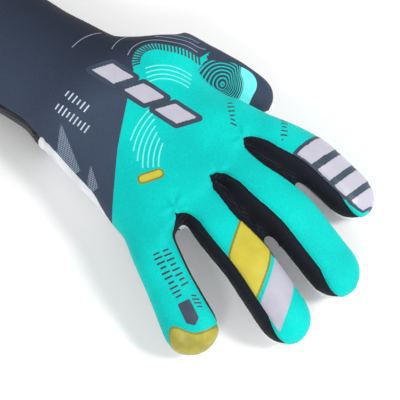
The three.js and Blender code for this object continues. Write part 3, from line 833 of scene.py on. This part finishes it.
def layers(points):
    """Values that the materials read, for each point of the skin."""
    s, _, far = local(LINES["thumb"], points)
    on_thumb = (far < 1.25) & (ahead_of_root(LINES["thumb"], points) > KNUCKLE_CUT)
    field = np.where(on_thumb, inside_polygon(points, THUMB_FIELD),
                     inside_polygon(points, HAND_FIELD))
    dots = np.maximum(*(inside_polygon(points, corners) for corners in DOT_FIELDS))
    away = points[:, :2] - CONTOUR_CENTRE
    reach = np.linalg.norm(away, axis=1)
    forward = smoothstep((away[:, 1] + 1) / 6)
    rings = reach / (2.15 - 1.0 * forward)
    contours = 17.5 - 6 * forward - reach
    strip = np.zeros_like(points)
    strip[:, 0], strip[:, 1] = points[:, 1], points[:, 0]
    nearest = np.full(len(points), 1.6)
    for line in LINES.values():
        s, angle, far = local(line, points)
        near = (far < nearest) & (s > -6)
        nearest = np.where(near, far, nearest)
        strip[near] = np.stack([s, np.radians(angle) * DIGIT_RADIUS, 0 * s], 1)[near]
    # tone is painted light on the navy: darker on the thumb side of the cuff, lighter towards the
    # little finger and towards the hand.
    tone = np.maximum(0, (points[:, 0] + 36) / 78) + 0.75 * smoothstep((points[:, 1] + 92) / 46)
    return {"tone": np.minimum(tone, 1), "navy": -field, "strip": strip, "dots": dots,
            "rings": rings, "contours": contours}


# ------------------------------------------------------------------ the panels
PANEL_NAMES = ("back", "palm", "gusset")
THICK = (BACK_THICK, PALM_THICK, GUSSET_THICK)


def region_of(owner, middle):
    """The region each triangle belongs to: hand, cuff, or a digit's base or tip."""
    region = np.where(middle[:, 1] < CUFF_SPLIT, "cuff", "hand").astype(object)
    for number, (name, line) in enumerate(LINES.items()):
        mine = owner == number
        beyond = ahead_of_root(line, middle) > line["split"]
        region[mine & ~beyond] = f"{name}_base"
        region[mine & beyond] = f"{name}_tip"
    return region


def replaced_nodes(region, panel):
    """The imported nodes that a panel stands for."""
    names = frame["nodes"]
    if region in ("hand", "cuff"):
        wanted = [f"{region}_{panel}"]
        if panel == "gusset":
            wanted = [n for n in names if n.endswith("_web")]
    elif panel == "gusset":
        wanted = [n for n in names if n.startswith(region) and n.endswith("_gusset")]
    else:
        wanted = [f"{region}_{panel}"]
    return [n for n in wanted if n in names]


def look_of(region, panel):
    """The material and the slot of a panel."""
    if panel == "gusset":
        return MESH_LOOK, "black_mesh"
    if panel == "palm":
        return (KNIT_LOOK, "elastic_knit") if region == "cuff" else (LATEX_LOOK, "latex_palm")
    slot = "navy_neoprene" if region in ("cuff", "hand") else "turquoise_neoprene"
    return (NEOPRENE_THUMB if region.startswith("thumb") else NEOPRENE), slot


ROUND = 12.6  # millimetres round a finger for each radian


def build_panels(moved, rest, triangles, owner, panel, middle):
    """Every outer panel. Returns the skin's normals."""
    normals = normals_of(moved, triangles)
    values = layers(rest)
    regions = region_of(owner, middle)
    for region in sorted(set(regions)):
        for number, kind in enumerate(PANEL_NAMES):
            mine = (regions == region) & (panel == number)
            if region == "cuff" and kind == "gusset" or not mine.any():
                continue
            look, slot = look_of(region, kind)
            thick = CUFF_THICK if region == "cuff" else THICK[number]
            obj = closed(f"{region}_{kind}_panel", moved, normals, triangles[mine], 0.0, thick,
                         look, values)
            finish_piece(obj, region, replaced_nodes(region, kind))
    return normals


def build_linings(moved, normals, triangles, y):
    """Knit inside the glove: hand, cuff, and the elastic band at the wrist."""
    spans = {
        "hand_lining": ((CUFF_SPLIT, -40), 3.7, LINING_LOOK, "hand", "elastic_knit",
                        ("hand_back_lining", "hand_palm_lining")),
        "cuff_lining_knit": ((MOUTH, CUFF_SPLIT), 2.9, LINING_LOOK, "cuff", "elastic_knit",
                             ("cuff_lining",)),
        "wrist_elastic_band": ((-119, -106), 3.9, KNIT_LOOK, "cuff", "elastic_knit",
                               ("wrist_elastic",)),
    }
    for name, (span, below, look, region, slot, nodes) in spans.items():
        mine = (y > span[0]) & (y < span[1])
        obj = closed(name, moved, normals, triangles[mine], -below, LINING_THICK, look)
        finish_piece(obj, region, nodes)


# ------------------------------------------------------------------ stage
VIEW_AZIMUTH, VIEW_ELEVATION = 128.0, 65.0
VIEW_DISTANCE = 0.9
LENS = 150.0
FLOOR = 6.0  # half the floor's side in metres
KEY_WIDTH, FILL_CONE, FILL_SOFTNESS = 0.3, 0.34, 0.3
FILL_TARGET = (48, 42, 0)  # the fill lights the floor and the fingers round this point
KEY_POWER, FILL_POWER, SKY = 12.0, 50.0, 0.70
AIM = (0.0, 0.0, 20.0)  # pattern point that the picture is centred above
AIM_DROP = 8.43  # millimetres that the middle of the picture lies below that point


def stage():
    """Camera, floor, sky and two lights."""
    low = metres((0, 0, 0))[2]
    a, e = math.radians(VIEW_AZIMUTH), math.radians(VIEW_ELEVATION)
    back = Vector((math.sin(a) * math.cos(e), -math.cos(a) * math.cos(e), math.sin(e)))
    up = Vector((-math.sin(a) * math.sin(e), math.cos(a) * math.sin(e), math.cos(e)))
    target = Vector(metres(AIM)) - up * AIM_DROP * MM
    lens = bpy.data.cameras.new("camera")
    lens.lens = LENS
    lens.clip_start, lens.clip_end = 0.05, 20
    camera = bpy.data.objects.new("camera", lens)
    bpy.context.scene.collection.objects.link(camera)
    camera.location = target + back * VIEW_DISTANCE
    camera.rotation_mode = "QUATERNION"
    camera.rotation_quaternion = (-back).to_track_quat("-Z", "Y")
    bpy.context.scene.camera = camera

    mesh = bpy.data.meshes.new("floor")
    level = min(low, cad_low.z)
    mesh.from_pydata([(x * FLOOR, y * FLOOR, level) for x, y in
                      ((-1, -1), (1, -1), (1, 1), (-1, 1))], [], [(0, 1, 2, 3)])
    floor = bpy.data.objects.new("floor", mesh)
    bpy.context.scene.collection.objects.link(floor)
    look = Look("floor", roughness=0.9, specular=0.1)
    mesh.materials.append(look.base(colour("#fbfbfb")))

    world = bpy.data.worlds.new("studio")
    world.use_nodes = True
    world.node_tree.nodes["Background"].inputs["Color"].default_value = colour("#ffffff")
    world.node_tree.nodes["Background"].inputs["Strength"].default_value = SKY
    bpy.context.scene.world = world
    right = Vector((math.cos(a), math.sin(a), 0))
    away = Vector((-math.sin(a), math.cos(a), 0))
    aim_at("key", "AREA", right * 1.1 - away * 0.3 + Vector((0, 0, 0.98)), Vector(),
           KEY_POWER).size = KEY_WIDTH
    lamp = aim_at("fill", "SPOT", -right * 0.3 - away * 1.1 + Vector((0, 0, 0.9)),
                  Vector(metres(FILL_TARGET)), FILL_POWER)
    lamp.spot_size, lamp.spot_blend, lamp.shadow_soft_size = FILL_CONE, 1.0, FILL_SOFTNESS
    bpy.context.scene.view_settings.view_transform = "Standard"


def aim_at(name, kind, place, target, power):
    """A light at a place, pointed at a target. Returns its data."""
    light = bpy.data.lights.new(name, kind)
    light.energy = power
    lamp = bpy.data.objects.new(name, light)
    bpy.context.scene.collection.objects.link(lamp)
    lamp.location = place
    lamp.rotation_mode = "QUATERNION"
    lamp.rotation_quaternion = (target - place).to_track_quat("-Z", "Y")
    return light


# ------------------------------------------------------------------ prints on the skin
PRINT_SNAP = 0.04  # share of an edge within which a print's outline takes a skin point over
PRINT_EDGE = 0.7  # width of a print's rounded rim
PRINT_ROOT = 0.25  # how far a print reaches below its face
STRIP_ROOT = 0.2


def decal(name, inside, regions, look, lift=0.3, nodes=()):
    """A thin raised print over the part of the skin where inside(points) is positive, on the
    back panels of the named regions. It is split where the panels are, and attached like them."""
    for region in regions:
        mine = (REGIONS == region) & (PANEL == 0)
        part = TRIANGLES[mine]
        used, part = np.unique(part, return_inverse=True)
        part = part.reshape(-1, 3)
        both = np.hstack([REST[used], MOVED[used], NORMALS[used]])
        both, part, value = cut(both, part, inside(both[:, :3]), PRINT_SNAP)
        part = part[value[part].sum(1) > 0]
        if not len(part):
            continue
        rise = lift * smoothstep(value / PRINT_EDGE) + 0.04
        obj = closed(f"{name}_{region}" if len(regions) > 1 else name, both[:, 3:6],
                     unit(both[:, 6:9]), part, rise, rise + PRINT_ROOT, look)
        finish_piece(obj, region, nodes if region == regions[-1] else ())


def on_back(x, y):
    """Point and normal on the skin, straight down onto it at a plan position."""
    hit, normal, _, _ = TREE.ray_cast(Vector((x, y, 90)), Vector((0, 0, -1)))
    return np.array(hit), np.array(normal)


def on_digit(name):
    """Places points on a digit by distance along it and angle round it."""
    line = LINES[name]

    def place(s, angle):
        k = np.interp(s, line["s"], np.arange(len(line["s"])))
        low = min(int(k), len(line["s"]) - 2)
        mid = line["points"][low] + (line["points"][low + 1] - line["points"][low]) * (k - low)
        half = line["half_at"][low]
        turn = math.radians(angle)
        out = unit(line["side"][low] * math.cos(turn) * half[0]
                   + line["up"][low] * math.sin(turn) * half[1])
        hit, normal, _, _ = TREE.ray_cast(Vector(mid + out * 28), Vector(-out))
        return np.array(hit), np.array(normal)

    return place


def grid_piece(grids, place, lift):
    """Points, normals, triangles and lifts of little raised strips, from grids of places.
    Each grid is rows of (u, v); its first and last column are the strip's sunken edges."""
    points, normals, triangles, lifts = [], [], [], []
    for grid in grids:
        start, rows, columns = len(points), len(grid), len(grid[0])
        for i, row in enumerate(grid):
            for j, spot in enumerate(row):
                point, normal = place(*spot)
                points.append(point)
                normals.append(normal)
                edge = j in (0, columns - 1) or i in (0, rows - 1)
                lifts.append(0.03 if edge else lift)
        for i in range(rows - 1):
            for j in range(columns - 1):
                a = start + i * columns + j
                triangles += [(a, a + 1, a + columns + 1), (a, a + columns + 1, a + columns)]
    points, triangles = np.array(points), np.array(triangles)
    a, b, c = (points[triangles[:, k]] for k in range(3))
    facing = (np.cross(b - a, c - a) * np.array(normals)[triangles[:, 0]]).sum(1) < 0
    triangles[facing] = triangles[facing][:, ::-1]
    return points, unit(np.array(normals)), triangles, np.array(lifts)


def strips(name, grids, place, region, look, lift=0.22, nodes=()):
    """One piece from the grids of several raised strips."""
    points, normals, triangles, lifts = grid_piece(grids, place, lift)
    obj = closed(name, points, normals, triangles, lifts, lifts + STRIP_ROOT, look)
    return finish_piece(obj, region, nodes)


def ribbon(line, width, step=1.2):
    """A grid along a line of (u, v) places, width across."""
    line = np.array(line, float)
    length = np.r_[0, np.cumsum(np.linalg.norm(np.diff(line, axis=0), axis=1))]
    at = np.linspace(0, length[-1], max(3, int(length[-1] / step) + 1))
    mid = np.stack([np.interp(at, length, line[:, k]) for k in range(2)], 1)
    ahead = unit(np.gradient(mid, axis=0))
    side = np.stack([ahead[:, 1], -ahead[:, 0]], 1)
    offsets = np.array([-0.5, -0.32, 0.32, 0.5]) * width
    return [[tuple(m + s * o) for o in offsets] for m, s in zip(mid, side)]


def curve(points, count=24):
    """A smooth line through a few (u, v) places."""
    p = np.array(points, float)
    p = np.vstack([2 * p[0] - p[1], p, 2 * p[-1] - p[-2]])
    out = []
    for i in range(1, len(p) - 2):
        for t in np.linspace(0, 1, count // (len(p) - 3) + 1)[:-1]:
            out.append(0.5 * ((2 * p[i]) + (p[i + 1] - p[i - 1]) * t
                              + (2 * p[i - 1] - 5 * p[i] + 4 * p[i + 1] - p[i + 2]) * t ** 2
                              + (3 * p[i] - p[i - 1] - 3 * p[i + 1] + p[i + 2]) * t ** 3))
    return out + [p[-2]]


BAR_OUTLINE = 2.3
BLOCK_OUTLINE = 1.5
TAB_RIM, BAND_RIM, CAP_RIM = 0.7, 0.8, 0.9
TOOTH_START, TOOTH_PITCH = 2.5, 1.95
TOOTH_LENGTH, TOOTH_WIDTH = 4.4, 1.05
TOOTH_ROOT = 0.6  # how far a tooth starts outside the line
FLOW_WIDTH, FLOW_PITCH = 0.75, 2.8
LINE_WIDTH = 0.5
BAR = np.array([(0, 0), (-11, 6.5), (-12, 21.5), (-1, 15)])
BAR_START, BAR_STEP = np.array([-8, -81.5]), np.array([-1.5, 20.5])
TAB = [(16, -15), (23.5, -20)]  # its middle line, widened by TAB_ROUND
TAB_ROUND = 2.2


def over(name, *shapes):
    """How far points are inside any of some shapes given as (distance, angle) on a digit."""
    def inside(points):
        s, angle, _ = local(LINES[name], points)
        flat = np.stack([s, np.radians(off_angle(angle, 90) + 90) * ROUND], 1)
        return np.max([inside_polygon(flat, [(u, math.radians(v) * ROUND) for u, v in shape])
                       for shape in shapes], axis=0)

    return inside


def ticks(first, last, count, half, width, lean=0.0):
    """A row of short strokes across the line from first to last."""
    first, last = np.array(first, float), np.array(last, float)
    ahead = unit(last - first)
    side = np.array([-ahead[1], ahead[0]])
    made = []
    for k in range(count):
        mid = first + (last - first) * k / max(1, count - 1)
        reach = (side + ahead * lean) * half * (1.0 if k % 3 else 0.72)
        made.append(ribbon([mid - reach, mid + reach], width))
    return made


def on_arc(name):
    """As on_digit, but with the way round in millimetres."""
    place = on_digit(name)
    return lambda s, v: place(s, math.degrees(v / ROUND))


def near_line(points, first, last):
    """Minus the distance in plan from a straight line between two places."""
    first, edge = np.array(first, float), np.subtract(last, first)
    along = np.clip((points[:, :2] - first) @ edge / (edge @ edge), 0, 1)
    return -np.linalg.norm(points[:, :2] - first - along[:, None] * edge, axis=1)


def round_by(angle):
    """Millimetres round a digit at an angle in degrees."""
    return math.radians(angle) * ROUND


def build_back_prints():
    """Bars, tab, comb, flow lines and marks on the back of the hand and cuff."""
    for k in range(3):
        corners = BAR + BAR_START + BAR_STEP * k
        decal(f"bar_outline_{k + 1}", lambda p, c=corners: inside_polygon(p, c) + BAR_OUTLINE,
              ["hand"], INK_LOOK, lift=0.22)
        decal(f"bar_{k + 1}", lambda p, c=corners: inside_polygon(p, c), ["hand"],
              GREY_LOOK, lift=0.5, nodes=[f"back_bar_{k + 1}"])
    decal("tab_rim", lambda p: near_line(p, *TAB) + TAB_ROUND + TAB_RIM,
          ["hand"], OLIVE_LOOK, lift=0.45)
    decal("tab", lambda p: near_line(p, *TAB) + TAB_ROUND, ["hand"], YELLOW_LOOK,
          lift=1.1, nodes=["knuckle_tab"])

    line = np.array(hook(COMB_RADIUS, -30, COMB_RUN))
    length = np.r_[0, np.cumsum(np.linalg.norm(np.diff(line, axis=0), axis=1))]
    teeth = []
    for at in np.arange(TOOTH_START, length[-1], TOOTH_PITCH):
        here = np.array([np.interp(at, length, line[:, k]) for k in range(2)])
        ahead = np.array([np.interp(at + 0.5, length, line[:, k]) for k in range(2)]) - here
        inward = unit(np.array([-ahead[1], ahead[0]]))
        inward = inward if inward @ (HOOK_CENTRE - here) > 0 else -inward
        lean = unit(ahead) * 0.25
        tooth = [here - inward * TOOTH_ROOT, here + (inward + lean) * TOOTH_LENGTH]
        teeth.append(ribbon(tooth, TOOTH_WIDTH))
    strips("comb_teeth", teeth, on_back, "hand", INK_LOOK, lift=0.1)

    flow = [arc((-16, -35), 19 + FLOW_PITCH * k, 180 + 3 * k, 250 - 2 * k) for k in range(4)]
    flow += [arc((-7, 5), 47 - FLOW_PITCH * k, 262 + 4 * k, min(312, 292 + 7 * k))
             for k in range(7)]
    flow = [ribbon(line, FLOW_WIDTH) for line in flow]
    strips("flow_lines", flow, on_back, "hand", PALE_LOOK, lift=0.08)

    marks = ticks((19, -82.5), (19, -62), 9, 2.3, 0.85) + ticks((10.5, -82.5), (10.5, -69), 6,
                                                               2.3, 0.85)
    strips("wrist_marks", marks, on_back, "hand", MARK_LOOK, lift=0.1)
    small = ticks((-42.5, -12.5), (-36.5, -6.5), 4, 1.9, 0.95) + ticks(
        (-34.5, -4.5), (-32.5, -2.5), 2, 1.6, 0.95, 0.6)
    strips("knuckle_marks", small, on_back, "hand", INK_LOOK, lift=0.1)
    edge = [arc(HOOK_CENTRE, 26, -70, -108), hook(16.5, -66, 20), hook(20, -137, 24),
            hook(23.5, HOOK_END + 1, 20)]
    strips("edge_lines", [ribbon(line, LINE_WIDTH) for line in edge], on_back, "hand", LINE_LOOK,
           lift=0.06)
    far = [arc((-16, -60), 39, 274, 244)]
    strips("cuff_line", [ribbon(line, LINE_WIDTH) for line in far], on_back, "cuff", LINE_LOOK,
           lift=0.06)


BAND_SIDES = (190, 45)  # degrees round the finger
BAND_LEAN = 26
YELLOW_BAND = (13, 36)  # where it starts and ends along the finger, at its first side
WHITE_BAND = (39.5, 57.5)
BLOCK = [(0, 45), (9.2, 45), (13.8, 130), (4.6, 130)]
BLOCKS, BLOCK_START, BLOCK_STEP = 4, 29.5, 12.2
SHIELD = [(48, 82), (48, 110), (59, 110), (62, 96), (59, 82)]
CAP_START = 67
CAP_NOTCH = 9  # how far the cap's edge comes back, about NOTCH_AT degrees
NOTCH_AT = 52
NOTCH_HALF = 26


def slanted(low, high):
    """The four corners of a band that leans round a finger."""
    first, last = BAND_SIDES
    return [(low, first), (high, first), (high + BAND_LEAN, last), (low + BAND_LEAN, last)]


def build_digit_prints():
    """Bands, blocks, cap and marks on the fingers."""
    ring = ["ring_base", "ring_tip"]
    band = over("ring", slanted(*YELLOW_BAND))
    decal("ring_band_rim", lambda p: band(p) + BAND_RIM, ring, OLIVE_LOOK, 0.2)
    decal("ring_band", band, ring, YELLOW_LOOK, 0.45,
          ["ring_patch_base", "ring_patch_tip"])
    white_band = over("ring", slanted(*WHITE_BAND))
    decal("ring_white_band", white_band, ["ring_tip"], SHADED_BAND_LOOK, 0.4,
          ["ring_stripe"])

    starts = BLOCK_START + BLOCK_STEP * np.arange(BLOCKS)
    blocks = over("index", *([(u + start, v) for u, v in BLOCK] for start in starts))
    decal("index_outline", lambda p: blocks(p) + BLOCK_OUTLINE, ["index_tip"], INK_LOOK,
          0.22)
    decal("index_blocks", blocks, ["index_tip"], GREY_LOOK, 0.55,
          ["index_grip_print"])
    place = on_arc("index")
    small = ticks((13, round_by(128)), (19, round_by(72)), 6, 1.8, 0.9)
    small += [ribbon([(19.2, round_by(60)), (20.0, round_by(60))], 0.9, 0.3)]
    strips("index_marks", small, place, "index_base", INK_LOOK, 0.1)

    def cap(points):
        s, angle, _ = local(LINES["little"], points)
        notch = np.exp(-(off_angle(angle, NOTCH_AT) / NOTCH_HALF) ** 2)
        edge = CAP_START - CAP_NOTCH * notch
        return s - edge

    decal("little_cap_rim", lambda p: cap(p) + CAP_RIM, ["little_tip"], OLIVE_LOOK,
          0.2)
    decal("little_cap_print", cap, ["little_tip"], CAP_LOOK, 0.45,
          ["little_cap"])
    decal("little_shield", over("little", SHIELD), ["little_tip"], INK_LOOK, 0.3)
    place = on_arc("little")
    rows = ticks((21.5, round_by(87)), (44.5, round_by(92)), 10, 2.2, 1.0)
    rows += ticks((21.5, round_by(110)), (40, round_by(117)), 8, 2.2, 1.0)
    rows += ticks((47.5, round_by(123)), (54, round_by(123)), 4, 1.7, 0.9, 0.5)
    strips("little_marks", rows, place, "little_tip", INK_LOOK, 0.1)


# ------------------------------------------------------------------ edge, tab and stitches
def ring_at(y, count=132):
    """Points of the skin round the cuff at y, with their outward directions in that plane."""
    xc, zc, w, h = (float(v) for v in outline_at(y))
    points = []
    for t in np.linspace(0, 2 * math.pi, count, endpoint=False):
        way = Vector((w * math.cos(t), 0, h * math.sin(t))).normalized()
        points.append(TREE.ray_cast(Vector((xc, y, zc)), way)[0])
    points = np.array(points)
    ahead = np.roll(points, -1, axis=0) - np.roll(points, 1, axis=0)
    return points, unit(np.stack([ahead[:, 2], 0 * ahead[:, 0], -ahead[:, 0]], 1))


GATHERS, GATHER_DEPTH = 22, 0.09  # small waves round the folded band


def build_binding():
    """A folded band over the cuff's edge: a U section carried round the mouth."""
    section = [(-157.5, 0.0), (-157.7, 0.75), (-158.6, 1.0), (-160.6, 0.92), (-163.4, 1.0),
               (-165.0, 0.75), (-165.9, -0.3), (-166.1, -1.8), (-165.7, -3.2), (-164.4, -4.2),
               (-161.4, -4.45), (-159.0, -4.4), (-158.7, -3.7), (-163.6, -3.7), (-163.9, -1.8),
               (-163.5, 0.0)]
    rings = []
    for y, offset in section:
        ring, outward = ring_at(max(y, MOUTH + 0.6))
        ring = ring + outward * offset
        ring[:, 1] = y
        wave = np.sin(np.linspace(0, 2 * math.pi * GATHERS, len(ring), endpoint=False))
        depth = GATHER_DEPTH * wave * (abs(offset) > 0.5)
        rings.append(ring + outward * depth[:, None])
    rings = np.array(rings)
    rings[:, :, 2] = np.maximum(rings[:, :, 2], 0.05)
    rows, count = rings.shape[:2]
    points, faces = rings.reshape(-1, 3), []
    for i in range(rows):
        for j in range(count):
            a, b = i * count + j, i * count + (j + 1) % count
            c, d = ((i + 1) % rows) * count + (j + 1) % count, ((i + 1) % rows) * count + j
            faces += [(a, d, c), (a, c, b)]
    faces = np.array(faces)
    normals = normals_of(points, faces)
    obj = mesh_object("cuff_bound_edge", points, faces, normals[faces], {"pattern": points},
                      BINDING_LOOK)
    finish_piece(obj, "cuff", ["cuff_binding"])


def build_pull_tab():
    """A webbing loop sewn inside the lower edge of the cuff."""
    line = curve([(-159.5, 6.0), (-163.0, 6.3), (-167.5, 7.6), (-173.0, 8.0), (-176.4, 8.9),
                  (-176.9, 10.3), (-175.2, 11.5), (-171.0, 11.7), (-166.5, 10.4),
                  (-162.5, 8.0), (-159.5, 7.6)], 60)
    line = np.array(line)
    ahead = unit(np.gradient(line, axis=0))
    across = np.array([-6, -5.7, -3.8, -1.9, 0, 1.9, 3.8, 5.7, 6])
    points = np.array([[(x, y, z) for x in across] for y, z in line]).reshape(-1, 3)
    outward = np.repeat(np.stack([0 * ahead[:, 0], ahead[:, 1], -ahead[:, 0]], 1),
                        len(across), axis=0)
    edge = np.tile(np.where(np.abs(across) > 5.8, 0.3, 0.62), len(line))
    faces = []
    for i in range(len(line) - 1):
        for j in range(len(across) - 1):
            a = i * len(across) + j
            faces += [(a, a + 1, a + len(across) + 1), (a, a + len(across) + 1, a + len(across))]
    faces = np.array(faces)
    p, q, r = (points[faces[0, k]] for k in range(3))
    if np.cross(q - p, r - p) @ outward[faces[0, 0]] < 0:
        faces = faces[:, ::-1]
    obj = closed("pull_tab_webbing", points, outward, faces, edge, edge * 2, WEBBING_LOOK)
    finish_piece(obj, "cuff", ["pull_tab"])


def sewn(name, places, ahead, normals, region, length=2.1, width=0.5, look=None):
    """A row of stitches: short rounded threads lying on the skin."""
    points, faces = [], []
    for place, way, up in zip(places, ahead, normals):
        side = np.cross(up, way)
        start = len(points)
        for u, size in ((-0.5, 0.45), (-0.32, 1.0), (0.32, 1.0), (0.5, 0.45)):
            for t in np.radians([0, 60, 120, 180, 240, 300]):
                points.append(place + way * u * length + side * math.cos(t) * width * size / 2
                              + up * (math.sin(t) * width * size / 2 - (1 - size) * 0.15))
        for i in range(3):
            for j in range(6):
                a, b = start + i * 6 + j, start + i * 6 + (j + 1) % 6
                faces += [(a, b, b + 6), (a, b + 6, a + 6)]
        for j in range(1, 5):
            faces.append((start, start + j + 1, start + j))
            faces.append((start + 18, start + 18 + j, start + 18 + j + 1))
    points, faces = np.array(points), np.array(faces)
    normals = normals_of(points, faces)
    centre = points[:24].mean(0)
    if (normals[:24] * (points[:24] - centre)).sum() < 0:
        faces, normals = faces[:, ::-1], -normals
    obj = mesh_object(name, points, faces, normals[faces], {"pattern": points},
                      look or THREAD_LOOK)
    finish_piece(obj, region)


def build_stitches():
    """Stitches round the folded band, and two rows across the webbing."""
    ring, outward = ring_at(-158.4, 120)
    ahead = unit(np.roll(ring, -1, axis=0) - ring)
    places = ring + outward * 1.05
    places[:, 1] = -158.9
    places[:, 2] = np.maximum(places[:, 2], 0.3)
    sewn("binding_stitches", places, ahead, outward, "cuff")
    rows = [(x, -162.2 + dy) for dy in (0, 2.4) for x in np.arange(-4.4, 4.5, 1.76)]
    places = np.array([(x, y, np.interp(y, [-162.5, -159.5], [8.65, 8.25])) for x, y in rows])
    way, up = np.array([(1.0, 0, 0)] * len(rows)), np.array([(0, 0, 1.0)] * len(rows))
    sewn("tab_stitches", places, way, up, "cuff", 1.2, 0.4)


def build_extras():
    build_back_prints()
    build_digit_prints()
    build_binding()
    build_pull_tab()
    build_stitches()


stage()
MOVED, REST, TRIANGLES, OWNER, PANEL, MIDDLE = cut_skin()
REGIONS = region_of(OWNER, MIDDLE)
NORMALS = build_panels(MOVED, REST, TRIANGLES, OWNER, PANEL, MIDDLE)
build_linings(MOVED, NORMALS, TRIANGLES, MIDDLE[:, 1])
TREE = BVHTree.FromPolygons(MOVED.tolist(), TRIANGLES.tolist())
build_extras()
